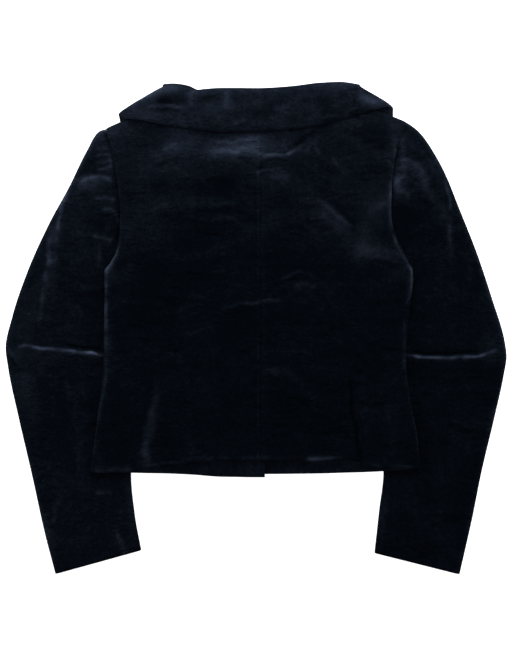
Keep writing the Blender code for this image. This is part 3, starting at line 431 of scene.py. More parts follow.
# painted highlight and shade in fine lines beside the centre seam, where its edges are pressed apart
SEAM_LINES = {-2.4: -0.04, 0.4: 0.065, 3.4: -0.04, 6.6: 0.035}
CENTRE_SEAM = [
    Fold([(x, 320), (x, 40), (x, -240)], 0, 1.3, 1.3, light) for x, light in SEAM_LINES.items()
]
# painted highlight along each sleeve's outer fold, against Y
SLEEVE_RIM = {
    -1: {-320: 0.12, -60: 0.08, 0: 0.10, 110: 0.12, 180: 0.22, 260: 0.22},
    1: {-320: 0.14, -60: 0.20, 60: 0.26, 150: 0.14, 260: 0.14},
}
RIM_WIDE = 5.0
HEAD_LIGHT = 0.22    # painted light along the armhole seam, lifting the shade in the sleeve's dip there
# painted light on the front below the back's hem, lifting the shade that the hem casts there
FRONT_HEM_LIGHT = 0.11
FRONT_HEM_Y, FRONT_HEM_BLEND = -162.0, 6.0
# painted highlight on crests and rims, put into the colour
CREST, GLOW, GLOW_WIDE = 0.72, 0.28, 2.6  # a crest's own light and the wider glow round it
Uneven = namedtuple("Uneven", "mean swing length seed")
# how strongly the painted highlights on crests and rims come and go
CREST_SHINE = Uneven(0.95, 0.6, 9, 3)
RIM_SHINE = Uneven(0.9, 0.9, 12, 4)
# grain of the pile and its crush marks: fineness per metre, then how much it adds
Grain = namedtuple("Grain", "scale detail light height")
GRAINS = [
    Grain(38, 3, 0.10, 0.0), Grain(130, 2, 0.14, 0.0),
    Grain(330, 2, 0.26, 0.05), Grain(900, 2, 0.18, 0.02),
]
GRAIN_MEAN = 0.33    # taken off again, so that the level stays
Crush = namedtuple("Crush", "scale places depth")
CRUSHED = [Crush(25, 9, 1.6), Crush(54, 19, 1.1), Crush(115, 27, 0.6)]
CRUSH_DRAWN = (0.55, 1.0, 1.0)
CRUSH_CONTRAST, CRUSH_START, CRUSH_LEAST = 5.0, -2.0, 0.15

# Sewing
DITCH = 0.4          # how deep a seam draws the cloth in
DITCH_WIDE = 2.4
ARMHOLE_LAP = 1.7    # the body's edge over the sleeve's
HEAD_DIP = 1.0       # how far the sleeve's edge goes down under it
HEAD_DIP_RUN = 4.5
ARMHOLE_FOOT = 95.0
HEM_ROLL = 3.2       # how far in from a turned hem its edge rounds over
HEM_DROP = 1.2
EDGE_STITCH = 5.0    # the collar's stitching, from its free edge
STITCH_DEPTH = 0.3
STITCH_WIDE = 1.1
COLLAR_DROP = 0.8    # how far the collar's free edge rounds down
EDGE_THIN = 0.55     # share of the cloth pressed out of a lapped edge
EDGE_RUN = 2.4

# Room, lights and camera, in metres
FLOOR_HALF = 30.0
SoftBox = namedtuple("SoftBox", "name place aim size power")
SOFT_BOXES = [
    SoftBox("top", (0, 1.28, 0.54), (0, 0.1, 0), (1.6, 0.5), 28),
    SoftBox("bottom", (0, -1.3, 0.5), (0, 0, 0), (1.6, 0.5), 5),
    SoftBox("left", (-1.2, 0.2, 0.4), (0, 0, 0), (1.2, 0.4), 12),
    SoftBox("right", (1.2, 0.2, 0.4), (0, 0, 0), (1.2, 0.4), 12),
]
PIXEL = 1.277 * MM   # of the jacket in one pixel of the photo
FRAME_HEIGHT = 655 * PIXEL
FRAME_CENTRE = (0.0005, 0.0011)
LENS, SENSOR = 100.0, 36.0


def through(knots, values, at):
    """A smooth curve through the knots that never overshoots them: cubic
    pieces whose end slopes are harmonic means of the slopes on both sides."""
    k, f = np.asarray(knots, float), np.asarray(values, float)
    step, rise = np.diff(k), np.diff(f)
    slope = rise / step
    tangent = np.zeros_like(f)
    tangent[0], tangent[-1] = slope[0], slope[-1]
    same = slope[:-1] * slope[1:] > 0
    w1, w2 = 2 * step[1:] + step[:-1], step[1:] + 2 * step[:-1]
    blend = np.zeros_like(w1)
    blend[same] = (w1 + w2)[same] / (w1[same] / slope[:-1][same] + w2[same] / slope[1:][same])
    tangent[1:-1] = blend
    at = np.clip(np.asarray(at, float), k[0], k[-1])
    i = np.clip(np.searchsorted(k, at, side="right") - 1, 0, len(k) - 2)
    s = (at - k[i]) / step[i]
    return (
        f[i] * (1 + 2 * s) * (1 - s) ** 2
        + tangent[i] * step[i] * s * (1 - s) ** 2
        + f[i + 1] * s * s * (3 - 2 * s)
        + tangent[i + 1] * step[i] * s * s * (s - 1)
    )


def column(rows, name):
    """One field of every row."""
    return [getattr(row, name) for row in rows]


def against(table, at):
    """Smooth curve through a table of values against places."""
    return through(list(table), list(table.values()), at)


def edge_x(rows, side, y):
    """X of an outline's left or right edge against Y."""
    return through(column(rows, "y"), column(rows, "left" if side < 0 else "right"), y)


def ease(s):
    """Rise from 0 to 1, level at both ends: 3 times the square less twice the cube."""
    s = np.clip(s, 0.0, 1.0)
    return s * s * (3 - 2 * s)


def mix(a, b, s):
    """The place a share s of the way from a to b."""
    return a + (b - a) * s


def bell(distance, width):
    """1 at no distance, then e to minus the square of distance over width."""
    return np.exp(-((distance / width) ** 2))


def rounded(distance, reach):
    """Share of a fold's half-height reached at a distance in from its edge: a
    quarter of an ellipse."""
    s = np.clip(distance / reach, 0.0, 1.0)
    return np.sqrt(1 - (1 - s) ** 2)


def plan(x, y):
    """Points in plan from their X and Y."""
    return np.stack(np.broadcast_arrays(x, y), axis=-1).astype(float)


def grid_between(left, right, bottom, top, rows, columns):
    """X and Y of a grid between four edge curves, each a function of 0 to 1: the
    sum of the two blends between opposite edges, less the blend between the corners."""
    v, u = np.meshgrid(rows, columns, indexing="ij")
    w, one = np.zeros_like(u), np.ones_like(u)
    p = (1 - u)[..., None] * left(v) + u[..., None] * right(v)
    p += (1 - v)[..., None] * bottom(u) + v[..., None] * top(u)
    p -= ((1 - u) * (1 - v))[..., None] * left(w) + (u * (1 - v))[..., None] * right(w)
    p -= ((1 - u) * v)[..., None] * left(one) + (u * v)[..., None] * right(one)
    return p[..., 0], p[..., 1]


def upright(x_of, low, high):
    """Edge curve that runs from one Y to another, its X worked out from Y."""
    def at(s):
        y = mix(low, high, s)
        return plan(x_of(y), y)
    return at


def crossways(y_of, start, end):
    """Edge curve that runs from one X to another, its Y worked out from X."""
    def at(s):
        x = mix(start, end, s)
        return plan(x, y_of(x))
    return at


def run_along(points):
    """Distance of each point from the first, along the line through them."""
    return np.concatenate([[0], np.cumsum(np.hypot(*np.diff(points, axis=0).T))])


def crease_line(path):
    """Evenly spaced samples of a smooth curve through a crease's points, and the
    share of its length at each."""
    p = np.array(path, float)
    run = run_along(p)
    at = np.linspace(0, run[-1], max(CREASE_LEAST, int(run[-1] / CREASE_STEP)))
    return np.column_stack([through(run, p[:, 0], at), through(run, p[:, 1], at)]), at / run[-1]


def wander(x, y, length, seed):
    """Smooth random field from -1 to 1: seeded values on a square lattice of
    this length, blended between its corners with an eased weight."""
    values = np.random.default_rng(seed).uniform(-1, 1, (LATTICE, LATTICE))
    u, v = x / length + LATTICE_START[0], y / length + LATTICE_START[1]
    i, j = np.floor(u).astype(int), np.floor(v).astype(int)
    s, t = ease(u - i), ease(v - j)
    i, j = i % (LATTICE - 1), j % (LATTICE - 1)
    low = mix(values[i, j], values[i + 1, j], s)
    return mix(low, mix(values[i, j + 1], values[i + 1, j + 1], s), t)


def crumple(x, y, seed, drawn=1.0):
    """Ridged unevenness of crushed cloth: for each wave length, a level less the
    distance of a random field from zero, so that it peaks in crooked lines."""
    sway_x, sway_y = (CRUMPLE_SWAY * wander(x, y, SWAY_LENGTH, seed + i) for i in (0, 1))
    x, y = x + sway_x, y + sway_y
    total = np.zeros_like(x)
    for number, (length, height) in enumerate(RIDGES.items()):
        field = wander(x / drawn, y, length, seed + 2 + number)
        total += height * (RIDGE_MEAN - np.sqrt(field ** 2 + RIDGE_ROUND))
    return total


def by_crease(folds, x, y, amount):
    """Sum over creases of an amount at the nearest place on each path, faded
    out at its ends: amount(fold, away, leftward, along) is worked out on the
    points near it."""
    total = np.zeros_like(x)
    for fold in folds:
        line, share = crease_line(fold.path)
        reach = CREASE_REACH * max(fold.left, fold.right)
        low, high = line.min(axis=0) - reach, line.max(axis=0) + reach
        near = (x > low[0]) & (x < high[0]) & (y > low[1]) & (y < high[1])
        if not near.any():
            continue
        start, run = line[:-1], np.diff(line, axis=0)
        dx, dy = x[near][:, None] - start[:, 0], y[near][:, None] - start[:, 1]
        t = np.clip((dx * run[:, 0] + dy * run[:, 1]) / (run ** 2).sum(axis=1), 0, 1)
        away = np.hypot(dx - t * run[:, 0], dy - t * run[:, 1])
        pick = np.arange(len(away)), away.argmin(axis=1)
        leftward = (run[:, 0] * dy - run[:, 1] * dx)[pick] > 0
        along = share[pick[1]] + t[pick] * np.diff(share)[pick[1]]
        fade = ease(along / CREASE_FADE) * ease((1 - along) / CREASE_FADE)
        total[near] += fade * amount(fold, away[pick], leftward, along)
    return total


def spread(values, along):
    """Values set evenly along a crease, with straight lines between them."""
    values = np.atleast_1d(values)
    return np.interp(along, np.linspace(0, 1, len(values)), values)


def astray(x, y):
    """Places moved by two random fields, so that what is drawn there wanders."""
    stray_x, stray_y = (WANDER * wander(x, y, WANDER_LENGTH, seed) for seed in STRAY_SEEDS)
    return x + stray_x, y + stray_y


def creases(folds, x, y):
    """Relief of crests that wander: a bell curve of the distance to each path,
    with its own width on each side, times the height there."""
    def relief(fold, away, leftward, along):
        return spread(fold.height, along) * bell(away, np.where(leftward, fold.left, fold.right))
    return by_crease(folds, *astray(x, y), relief)


def lit(fold, away, _, along):
    """Painted highlight along a crest: a bell curve as wide as its steeper side, with a
    wider and weaker one round it, times the painted light there."""
    wide = min(fold.left, fold.right)
    return spread(fold.shine, along) * (CREST * bell(away, wide) + GLOW * bell(away, GLOW_WIDE * wide))


def uneven(shine, x, y):
    """Strength that changes by turns: a mean and a random field's swing."""
    return shine.mean + shine.swing * wander(x, y, shine.length, shine.seed)


def gleam(folds, x, y):
    """Painted highlights along crests that wander, stronger and weaker by turns."""
    return by_crease(folds, *astray(x, y), lit) * uneven(CREST_SHINE, x, y)


def patch_light(name, x, y):
    """Painted light and shade over broad places: a bell curve over each turned ellipse."""
    total = np.zeros_like(x)
    for patch in LIGHT_PATCHES[name]:
        c, s = math.cos(math.radians(patch.turn)), math.sin(math.radians(patch.turn))
        dx, dy = x - patch.x, y - patch.y
        total += patch.light * bell(np.hypot((dx * c + dy * s) / patch.wide, (dy * c - dx * s) / patch.tall), 1)
    return total


# Heights of the layers above the floor

def side_outline(side, y):
    """Edge of the body, half a cloth further in along the folded side."""
    return edge_x(SIDE, side, y) - side * LOW * ease((UNDERARM_Y - y) / ARMHOLE_BLEND + 1)


def armhole_lap(side, y):
    """How far the back's armhole edge laps over the sleeve's."""
    lap = ease((y - ARMHOLE_FOOT) / ARMHOLE_BLEND) * ease((SHOULDER[side].y - y) / SHOULDER_BLEND)
    return side * ARMHOLE_LAP * lap


def armhole_x(side, y):
    """The back's edge with its lap."""
    return side_outline(side, y) + armhole_lap(side, y)


def princess_x(side, y):
    """The princess seam, moved like the armhole where it ends there."""
    return edge_x(PRINCESS, side, y) + armhole_lap(side, y)


def top_of_back(x):
    """Neck seam between the neck points and straight shoulder seams outside."""
    y = against(NECK_BACK, x)
    for side in (-1, 1):
        neck, tip = NECK_POINT[side], SHOULDER[side]
        line = neck.y + (x - neck.x) * (tip.y - neck.y) / (tip.x - neck.x)
        y = np.where(side * x > side * neck.x, line, y)
    return y


def back_hem(x):
    """The back's lower edge against X."""
    return against(HEM_BACK, x)


def princess_foot(side):
    """Y at which the princess seam meets the hem."""
    return back_hem(edge_x(PRINCESS, side, PRINCESS_FOOT_Y))


def sleeve_edge(side, edge, y):
    """X of a sleeve's edge, in or out, against Y."""
    rows = SLEEVE[side][::-1]
    return through(column(rows, edge + "_y"), column(rows, edge + "_x"), y)


def over_sleeve(x, y):
    """Share of the lift where the body lies on a tucked sleeve."""
    lift = np.zeros_like(x)
    for side in (-1, 1):
        inner = side * sleeve_edge(side, "in", y)
        lift = np.maximum(lift, ease((side * x - inner) / SLEEVE_SLOPE + SLEEVE_LEAD))
    return lift * ease((SLEEVE_LIFT_TOP - y) / SLEEVE_SLOPE)


def over_collar(x, y):
    """Share of the lift where a front lies on the collar's end."""
    return ease((against(COLLAR_REACH, y) + COLLAR_CLEAR - np.abs(x)) / COLLAR_SLOPE)


def back_over_collar(x, y):
    """The back's own share of that lift, in a far longer slope."""
    reach = against(COLLAR_REACH, y) + COLLAR_CLEAR - COLLAR_SLOPE
    sideways = ease((reach + BACK_SLOPE - np.abs(x)) / BACK_SLOPE)
    return sideways * ease((y - BACK_SLOPE_FOOT) / BACK_SLOPE)


def over_buttons(x, y):
    """Share of the lift along the closing, which rests on its buttons."""
    low = ease((y - BUTTON_HEIGHTS[-1] + BUTTON_RUN) / BUTTON_SLOPE)
    high = ease((BUTTON_HEIGHTS[0] + BUTTON_RUN - y) / BUTTON_SLOPE)
    return low * high * ease((CLOSING_HALF - np.abs(x)) / CLOSING_SLOPE)


def front_height(side, x, y):
    """Middle of a front panel above the floor."""
    height = LOW + OVER_SLEEVE * over_sleeve(x, y) + OVER_COLLAR * over_collar(x, y)
    height = height + OVER_BUTTON * over_buttons(x, y)
    if side < 0:
        height = height + OVER_FRONT * ease((x - LAP_X) / LAP_SLOPE)
    return height


def closing_ridge(x, y):
    """Lift of the back over the lapped fronts and their buttons."""
    lap = ease((CLOSING_HALF - np.abs(x)) / CLOSING_SLOPE)
    return OVER_FRONT * lap + OVER_BUTTON * over_buttons(x, y)


def back_height(x, y):
    """Middle of the back above the floor: what lies under it, then air, then
    its creases, which never press through what is under them."""
    sleeve, ridge = over_sleeve(x, y), closing_ridge(x, y)
    air = AIR * (1 - AIR_PRESSED * np.maximum(sleeve, ridge / (OVER_FRONT + OVER_BUTTON)))
    under = LOW + OVER_SLEEVE * sleeve + OVER_COLLAR * back_over_collar(x, y) + ridge
    relief = creases(BACK_FOLDS, x, y) + against(BACK_CRUMPLE, y) * crumple(x, y, BACK_SEED, DRAWN_OUT)
    relief = np.maximum(relief, LAY - air)
    return under + CLOTH + air + relief


def to_shoulder(side, x, y, height, other):
    """Curves a layer's height down, or up, to the shoulder seam."""
    neck, tip = NECK_POINT[side], SHOULDER[side]
    run = np.array([tip.x - neck.x, tip.y - neck.y])
    run = run / np.hypot(*run)
    away = np.abs((x - tip.x) * -run[1] + (y - tip.y) * run[0])
    share = ease((side * (x - neck.x) + SHOULDER_LEAD) / SHOULDER_BLEND)
    mid = (height + other) / 2 + np.sign(height - other) * FOLD_PART
    return mix(mix(mid, height, rounded(away, FOLD_REACH)), height, 1 - share)


def to_side(away, y, height, other):
    """Curves a layer's height down, or up, to the side seam."""
    parting = FOLD_PART + 2 * SEAM * ease((y - UNDERARM_Y) / SIDE_BLEND + 1)
    mid = (height + other) / 2 + np.sign(height - other) * parting
    amount = ease((UNDERARM_Y - y) / SIDE_BLEND - SIDE_LEAD)
    return mix(height, mix(mid, height, rounded(away, FOLD_REACH)), amount)


def hem_drop(above):
    """How far a turned hem rounds down at a distance above its edge."""
    return HEM_DROP * (1 - rounded(above, HEM_ROLL))


def ditch(*distances):
    """How far seams draw the cloth in, at these distances from them."""
    return DITCH * sum(bell(d, DITCH_WIDE) for d in distances)


# The pieces, each as the grid of its middle surface

def toward_fold(length, spacing, reach):
    """Steps from 0 to 1 that close up where the last few curve into a fold."""
    flat = np.linspace(0, 1, max(3, round(length / spacing)), endpoint=False)
    last = 1 - FOLD_STEPS * reach / length
    return np.concatenate([flat * last[0], last])


def back_centre(side):
    """Grid between the centre seam, the princess seam and armhole, the hem and
    the neck and shoulder; its height is the back's."""
    seam, foot, top_y = -side * SEWN, princess_foot(side), SHOULDER[side].y - SEAM

    def outer(y):
        sewn = princess_x(side, y) - side * SEWN
        return np.where(y < PRINCESS_TOP_Y, sewn, armhole_x(side, y))

    turn = (PRINCESS_TOP_Y - foot) / (top_y - foot)
    lower = np.linspace(0, turn, round((PRINCESS_TOP_Y - foot) / SHOWN))
    upper = mix(turn, 1, toward_fold(top_y - PRINCESS_TOP_Y, SHOWN, FOLD_REACH)[1:])
    x, y = grid_between(
        upright(lambda y: seam, back_hem(0.0), against(NECK_BACK, 0.0) - SEAM / 2),
        upright(outer, foot, top_y),
        crossways(back_hem, seam, outer(foot)),
        crossways(lambda x: top_of_back(x) - SEAM / 2, seam, outer(top_y)),
        np.concatenate([lower, upper]),
        np.linspace(0, 1, round(abs(outer(0.0)) / SHOWN * BACK_FINER)),
    )
    z = to_shoulder(side, x, y, back_height(x, y), front_height(side, x, y))
    z = z - ditch(x, outer(y) - x) - hem_drop(y - back_hem(x))
    return np.dstack([x, y, z])


def back_side(side):
    """Grid between the princess seam, the side seam, the hem and the lower
    armhole; its height is the back's, curved down to the side seam."""
    def inner(y):
        return princess_x(side, y) + side * SEWN

    def outer(y):
        return side_outline(side, y)

    foot, corner = princess_foot(side), back_hem(outer(SIDE[0].y))
    width = abs(outer(0.0) - edge_x(PRINCESS, side, 0.0))
    x, y = grid_between(
        upright(inner, foot, PRINCESS_TOP_Y),
        upright(outer, corner, UNDERARM_Y),
        crossways(back_hem, inner(foot), outer(corner)),
        upright(lambda y: armhole_x(side, y), PRINCESS_TOP_Y, UNDERARM_Y),
        np.linspace(0, 1, round((PRINCESS_TOP_Y - foot) / SHOWN)),
        toward_fold(width, SHOWN, FOLD_REACH),
    )
    z = to_side(side * (outer(y) - x), y, back_height(x, y), front_height(side, x, y))
    z = z - ditch(x - princess_x(side, y)) - hem_drop(y - back_hem(x))
    return np.dstack([x, y, z])


def front(side):
    """Grid between the front edge and neckline, the side, the hem and the
    shoulder; its height is the front's, curved up to the side and shoulder."""
    def inner(y):
        return edge_x(NECK_FRONT, side, y)

    def outer(y):
        return side_outline(side, y)

    def hem(x):
        return against(HEM_FRONT[side], x)

    start, neck_y, top_y = inner(SIDE[0].y), NECK_POINT[side].y - NECK_PART, SHOULDER[side].y - SEAM
    foot, corner = hem(start), hem(outer(SIDE[0].y))
    hem_rows = np.linspace(0, FRONT_HEM_SHARE, FRONT_HEM_ROWS, endpoint=False)
    rows = mix(FRONT_HEM_SHARE, 1, toward_fold(FRONT_LENGTH, HIDDEN, FOLD_REACH))
    x, y = grid_between(
        upright(inner, foot, neck_y),
        upright(outer, corner, top_y),
        crossways(hem, start, outer(corner)),
        lambda s: plan(mix(inner(neck_y), outer(top_y), s), mix(neck_y, top_y, s)),
        np.concatenate([hem_rows, rows]),
        toward_fold(FRONT_WIDTH, HIDDEN / 2, FOLD_REACH),
    )
    own, other = front_height(side, x, y), back_height(x, y)
    z = to_side(side * (outer(y) - x), y, own, other)
    z = np.where(y > SLEEVE_LIFT_TOP, to_shoulder(side, x, y, own, other), z)
    return np.dstack([x, y, z])


def sleeve_sections(side):
    """How far from the sleeve head each section lies, along the sleeve's middle,
    and its edges and seam distance: smooth curves through the table's rows."""
    rows = SLEEVE[side]
    mid = np.array([((r.out_x + r.in_x) / 2, (r.out_y + r.in_y) / 2) for r in rows])
    run = run_along(mid)
    at = np.linspace(0, 1, round(SLEEVE_LENGTH / SHOWN)) * run[-1]
    return at, {name: through(run, column(rows, name), at) for name in Ring._fields}


def sleeve_width(side, ring):
    """From the outer fold to the inner one, along each section."""
    return np.hypot(ring["in_x"] - ring["out_x"] + side * LOW, ring["in_y"] - ring["out_y"])


def sleeve_point(side, at, ring, reach):
    """Place on a flattened sleeve; reach is 0 on the outer fold, counts up
    along the upper layer and down along the lower one."""
    out = plan(ring["out_x"] - side * LOW, ring["out_y"])
    inn = plan(ring["in_x"], ring["in_y"])
    width = sleeve_width(side, ring)[:, None]
    upper = reach >= 0
    d = np.clip(np.abs(reach), 0, width)
    s = d / width
    p = mix(out[:, None, :], inn[:, None, :], s[..., None])
    # the first sections follow the curve of the sleeve head
    head_y = mix(ring["out_y"][0], ring["in_y"][0], s)
    head = plan(edge_x(HEAD, side, head_y), head_y)
    straight = mix(out[0], inn[0], s[..., None])
    p = p + (head - straight) * (1 - ease(at / HEAD_RUN))[:, None, None]
    x, y = p[..., 0], p[..., 1]
    relief = creases(SLEEVE_FOLDS[side], x, y)
    relief = relief + against(SLEEVE_CRUMPLE, y) * crumple(x, y, SLEEVE_SEED[side])
    relief = np.maximum(relief - ditch(d - ring["seam"][:, None]), CLOTH + LAY - HIGH + LOW)
    clear = mix(CLEAR_OF_BODY, side * edge_x(SIDE, side, y), ease((y - CLEAR_TOP) / SLEEVE_SLOPE))
    top = HIGH + relief * ease((side * x - clear) / FOLD_START)
    top = top - hem_drop(at[-1] - at)[:, None] - HEAD_DIP * (1 - ease(at / HEAD_DIP_RUN))[:, None]
    mid = (top + LOW) / 2
    curve = rounded(d, SLEEVE_REACH) * rounded(width - d, FOLD_REACH)
    z = mix(mid, np.where(upper, top, LOW), curve)
    parting = SEAM * mix(HEAD_PART, 1, ease(at / SKEW_RUN))[:, None] * np.where(upper, 1, -1)
    inner_parting = np.where(width - d < TOUCH, parting, 0.0)
    return np.dstack([x, y, z + inner_parting])


def sleeve_under(side):
    """Upper layer as it lies, from the hind seam to the inner fold."""
    at, ring = sleeve_sections(side)
    start = (ring["seam"] + SEWN)[:, None]
    width = sleeve_width(side, ring)[:, None]
    shown = np.linspace(0, SLEEVE_SHOWN, round(SHOWN_WIDTH / SHOWN), endpoint=False)
    tucked = mix(SLEEVE_SHOWN, 1, toward_fold(TUCKED_WIDTH, HIDDEN, FOLD_REACH))
    return sleeve_point(side, at, ring, mix(start, width, np.concatenate([shown, tucked])))


def sleeve_top(side):
    """From the hind seam over the outer fold and along the floor."""
    at, ring = sleeve_sections(side)
    start = (ring["seam"] - SEWN)[:, None]
    width = sleeve_width(side, ring)[:, None]
    bend = FOLD_STEPS * SLEEVE_REACH
    strip = mix(start, bend[0] * STRIP_END, np.linspace(0, 1, STRIP_COLUMNS, endpoint=False))
    curve = np.broadcast_to(np.concatenate([bend, -bend[-2::-1]]), (len(at), 2 * len(bend) - 1))
    floor = -mix(bend[0], width, toward_fold(FLOOR_WIDTH, FLOOR_SPACING, FOLD_REACH)[1:])
    return sleeve_point(side, at, ring, np.concatenate([strip, curve, floor], axis=1))


def collar():
    """Stand, roll and fall of each section, wrapped over both shoulders. A
    section runs from the neck seam to the roll, half round it, and on to the
    free edge; the plane that it bends in turns over with the shoulder."""
    index = np.arange(len(COLLAR))
    spacing = np.hypot(np.diff(column(COLLAR, "fall_x")), np.diff(column(COLLAR, "fall_y")))
    turns = np.array(column(COLLAR, "turn"))
    shows = np.minimum(turns[:-1], turns[1:]) < FOLDED
    parts = np.maximum(np.round(spacing / np.where(shows, SHOWN, HIDDEN)), COLLAR_LEAST).astype(int)
    at = np.concatenate([i + np.arange(n) / n for i, n in enumerate(parts)] + [[index[-1]]])
    c = {name: through(index, column(COLLAR, name), at) for name in Collar._fields}
    side = np.where(c["fall_x"] < 0, -1, 1)
    turn = np.radians(c["turn"])
    share = (1 + np.cos(turn)) / 2

    # the neck edge keeps clear of the body's
    back_y = np.maximum(c["neck_y"], against(NECK_BACK, c["neck_x"]))
    ny = np.where(c["turn"] < FOLDED, back_y, c["neck_y"])
    clear = np.where(side < 0, edge_x(NECK_FRONT, -1, ny), edge_x(NECK_FRONT, 1, ny))
    nx = np.where(c["turn"] > FOLDED, clear - side * COLLAR_PART * (1 - share), c["neck_x"])
    tip = plan(c["roll_x"] - nx, c["roll_y"] - ny)
    tip = tip / np.linalg.norm(tip, axis=-1, keepdims=True)
    parting = PART_BACK + PART_SHOULDER * np.sin(turn) + PART_FRONT * (1 - share)
    neck = plan(nx, ny) + tip * (COLLAR_PART * parting)[:, None]
    z_back = back_height(nx, ny)
    z_front = np.where(side < 0, front_height(-1, nx, ny), front_height(1, nx, ny))
    neck_z = mix(z_front, z_back, share)

    radius = mix((z_front - LOW) / 2, ROLL, share)
    roll_z = neck_z + radius * np.cos(turn)
    centre = plan(c["roll_x"], c["roll_y"]) - tip * (radius + LOW)[:, None]
    up = np.array([0, 0, 1.0]) * np.cos(turn)[:, None]
    outward = np.where((side < 0)[:, None], SHOULDER_OUT[-1], SHOULDER_OUT[1])
    across = np.column_stack([side * tip[:, 1], -side * tip[:, 0], np.zeros(len(at))])
    over = outward * np.sin(turn)[:, None] + up
    bend = across * np.sin(turn)[:, None] + up

    def solid(flat, z):
        return np.column_stack([flat, z])

    fall_top = back_height(c["fall_x"], c["fall_y"]) + CLOTH + LAY
    fall = solid(plan(c["fall_x"], c["fall_y"]), mix(np.full_like(share, LOW), fall_top, share))
    roll, start = solid(centre, roll_z), solid(neck, neck_z)
    tip3 = solid(tip, np.zeros(len(at)))
    low, high = roll - bend * radius[:, None], roll + bend * radius[:, None]

    angle = np.radians(np.linspace(-90, 90, ROLL_STEPS))[1:-1]
    s = np.concatenate([np.linspace(0, 1 - FALL_EDGE, FALL_STEPS)[1:], 1 - FALL_EDGE * FOLD_STEPS[1:]])
    stand = mix(start[:, None], low[:, None], np.linspace(0, 1, STAND_STEPS)[:, None])
    round_roll = tip3[:, None] * np.cos(angle)[:, None] + bend[:, None] * np.sin(angle)[:, None]
    round_roll = roll[:, None] + round_roll * radius[:, None, None]
    down = mix(high[:, None], fall[:, None], s[:, None])
    from_edge = np.linalg.norm(fall - high, axis=1)[:, None] * (1 - s)
    lift = FALL_BULGE * np.sin(math.pi * s) * share[:, None]
    relief = creases(COLLAR_FOLDS, down[..., 0], down[..., 1])
    relief += COLLAR_CRUMPLE * np.maximum(crumple(down[..., 0], down[..., 1], COLLAR_SEED), 0)
    lift += relief * ease(from_edge / CREASE_CLEAR) * share[:, None]
    lift -= STITCH_DEPTH * bell(from_edge - EDGE_STITCH, STITCH_WIDE)
    lift -= COLLAR_DROP * (1 - rounded(from_edge, HEM_ROLL))
    down = down + over[:, None] * lift[..., None]
    return np.concatenate([stand, round_roll, high[:, None], down], axis=1)


# How thin the cloth is pressed at lapped edges

def pressed(away):
    """Share of the thickness left at a distance from an edge: 1 less a bell curve."""
    return 1 - EDGE_THIN * bell(away, EDGE_RUN)


def back_thin(side, mid):
    """Pressed along the armhole, down to its foot."""
    x, y = mid[..., 0], mid[..., 1]
    upper = ease((y - ARMHOLE_FOOT) / ARMHOLE_BLEND)
    return mix(1.0, pressed(armhole_x(side, y) - x), upper)


def sleeve_thin(side):
    """Pressed along the sleeve head."""
    return pressed(sleeve_sections(side)[0])[:, None]


def collar_thin(mid):
    """Pressed along the free edge."""
    return pressed(np.linalg.norm(mid - mid[:, -1:], axis=-1))


# Painted sheen and shade of the pile on each piece

def back_sheen_and_shade(mid):
    """Painted sheen and shade: level, painted patches, crests, crumple, and the rims of sides, hem and seam.
    """
    x, y = mid[..., 0], mid[..., 1]
    light = against(BACK_LEVEL, y) + patch_light("back", x, y) + gleam(BACK_FOLDS, x, y)
    light += CRUMPLE_SHINE * against(BACK_CRUMPLE, y) * crumple(x, y, BACK_SEED, DRAWN_OUT)
    rims = by_crease([*BODY_RIM.values(), *HEM_RIM, *CENTRE_SEAM], x, y, lit)
    return light + rims * uneven(RIM_SHINE, x, y)


def front_sheen_and_shade(mid):
    """As the back's, with painted light along the hem, lifting the shade that the back's hem casts on it."""
    return back_sheen_and_shade(mid) + FRONT_HEM_LIGHT * ease((FRONT_HEM_Y - mid[..., 1]) / FRONT_HEM_BLEND)


def sleeve_sheen_and_shade(side, mid):
    """Painted sheen and shade: level, painted patches, crests, crumple, and rims at the outer fold and head.
    """
    x, y = mid[..., 0], mid[..., 1]
    rim = against(SLEEVE_RIM[side], y) * bell(sleeve_edge(side, "out", y) - x, RIM_WIDE)
    rim = rim + HEAD_LIGHT * bell(sleeve_sections(side)[0], HEAD_DIP_RUN / 2)[:, None]
    light = against(SLEEVE_LEVEL[side], y) + patch_light("sleeve", x, y) + rim + gleam(SLEEVE_FOLDS[side], x, y)
    return light + CRUMPLE_SHINE * against(SLEEVE_CRUMPLE, y) * crumple(x, y, SLEEVE_SEED[side])


def collar_sheen_and_shade(mid):
    """Painted sheen and shade: level, painted patches, crests and crumple."""
    x, y = mid[..., 0], mid[..., 1]
    light = against(COLLAR_LEVEL, y) + patch_light("collar", x, y) + gleam(COLLAR_FOLDS, x, y)
    return light + CRUMPLE_SHINE * COLLAR_CRUMPLE * crumple(x, y, COLLAR_SEED)


# Meshes

def placement():
    """From the tables' origin to the frame's, as the top button shows it."""
    low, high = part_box("button_1")
    x, y = (low[0] + high[0]) / 2 / MM, (low[1] + high[1]) / 2 / MM
    return np.array([x - BUTTON_X, y - BUTTON_HEIGHTS[0], 0.0])


def in_scene(name, data):
    """New object that shows this data, at the origin."""
    made = bpy.data.objects.new(name, data)
    bpy.context.scene.collection.objects.link(made)
    return made


def unit(v):
    """Vectors made one long."""
    return v / np.maximum(np.linalg.norm(v, axis=-1, keepdims=True), 1e-9)


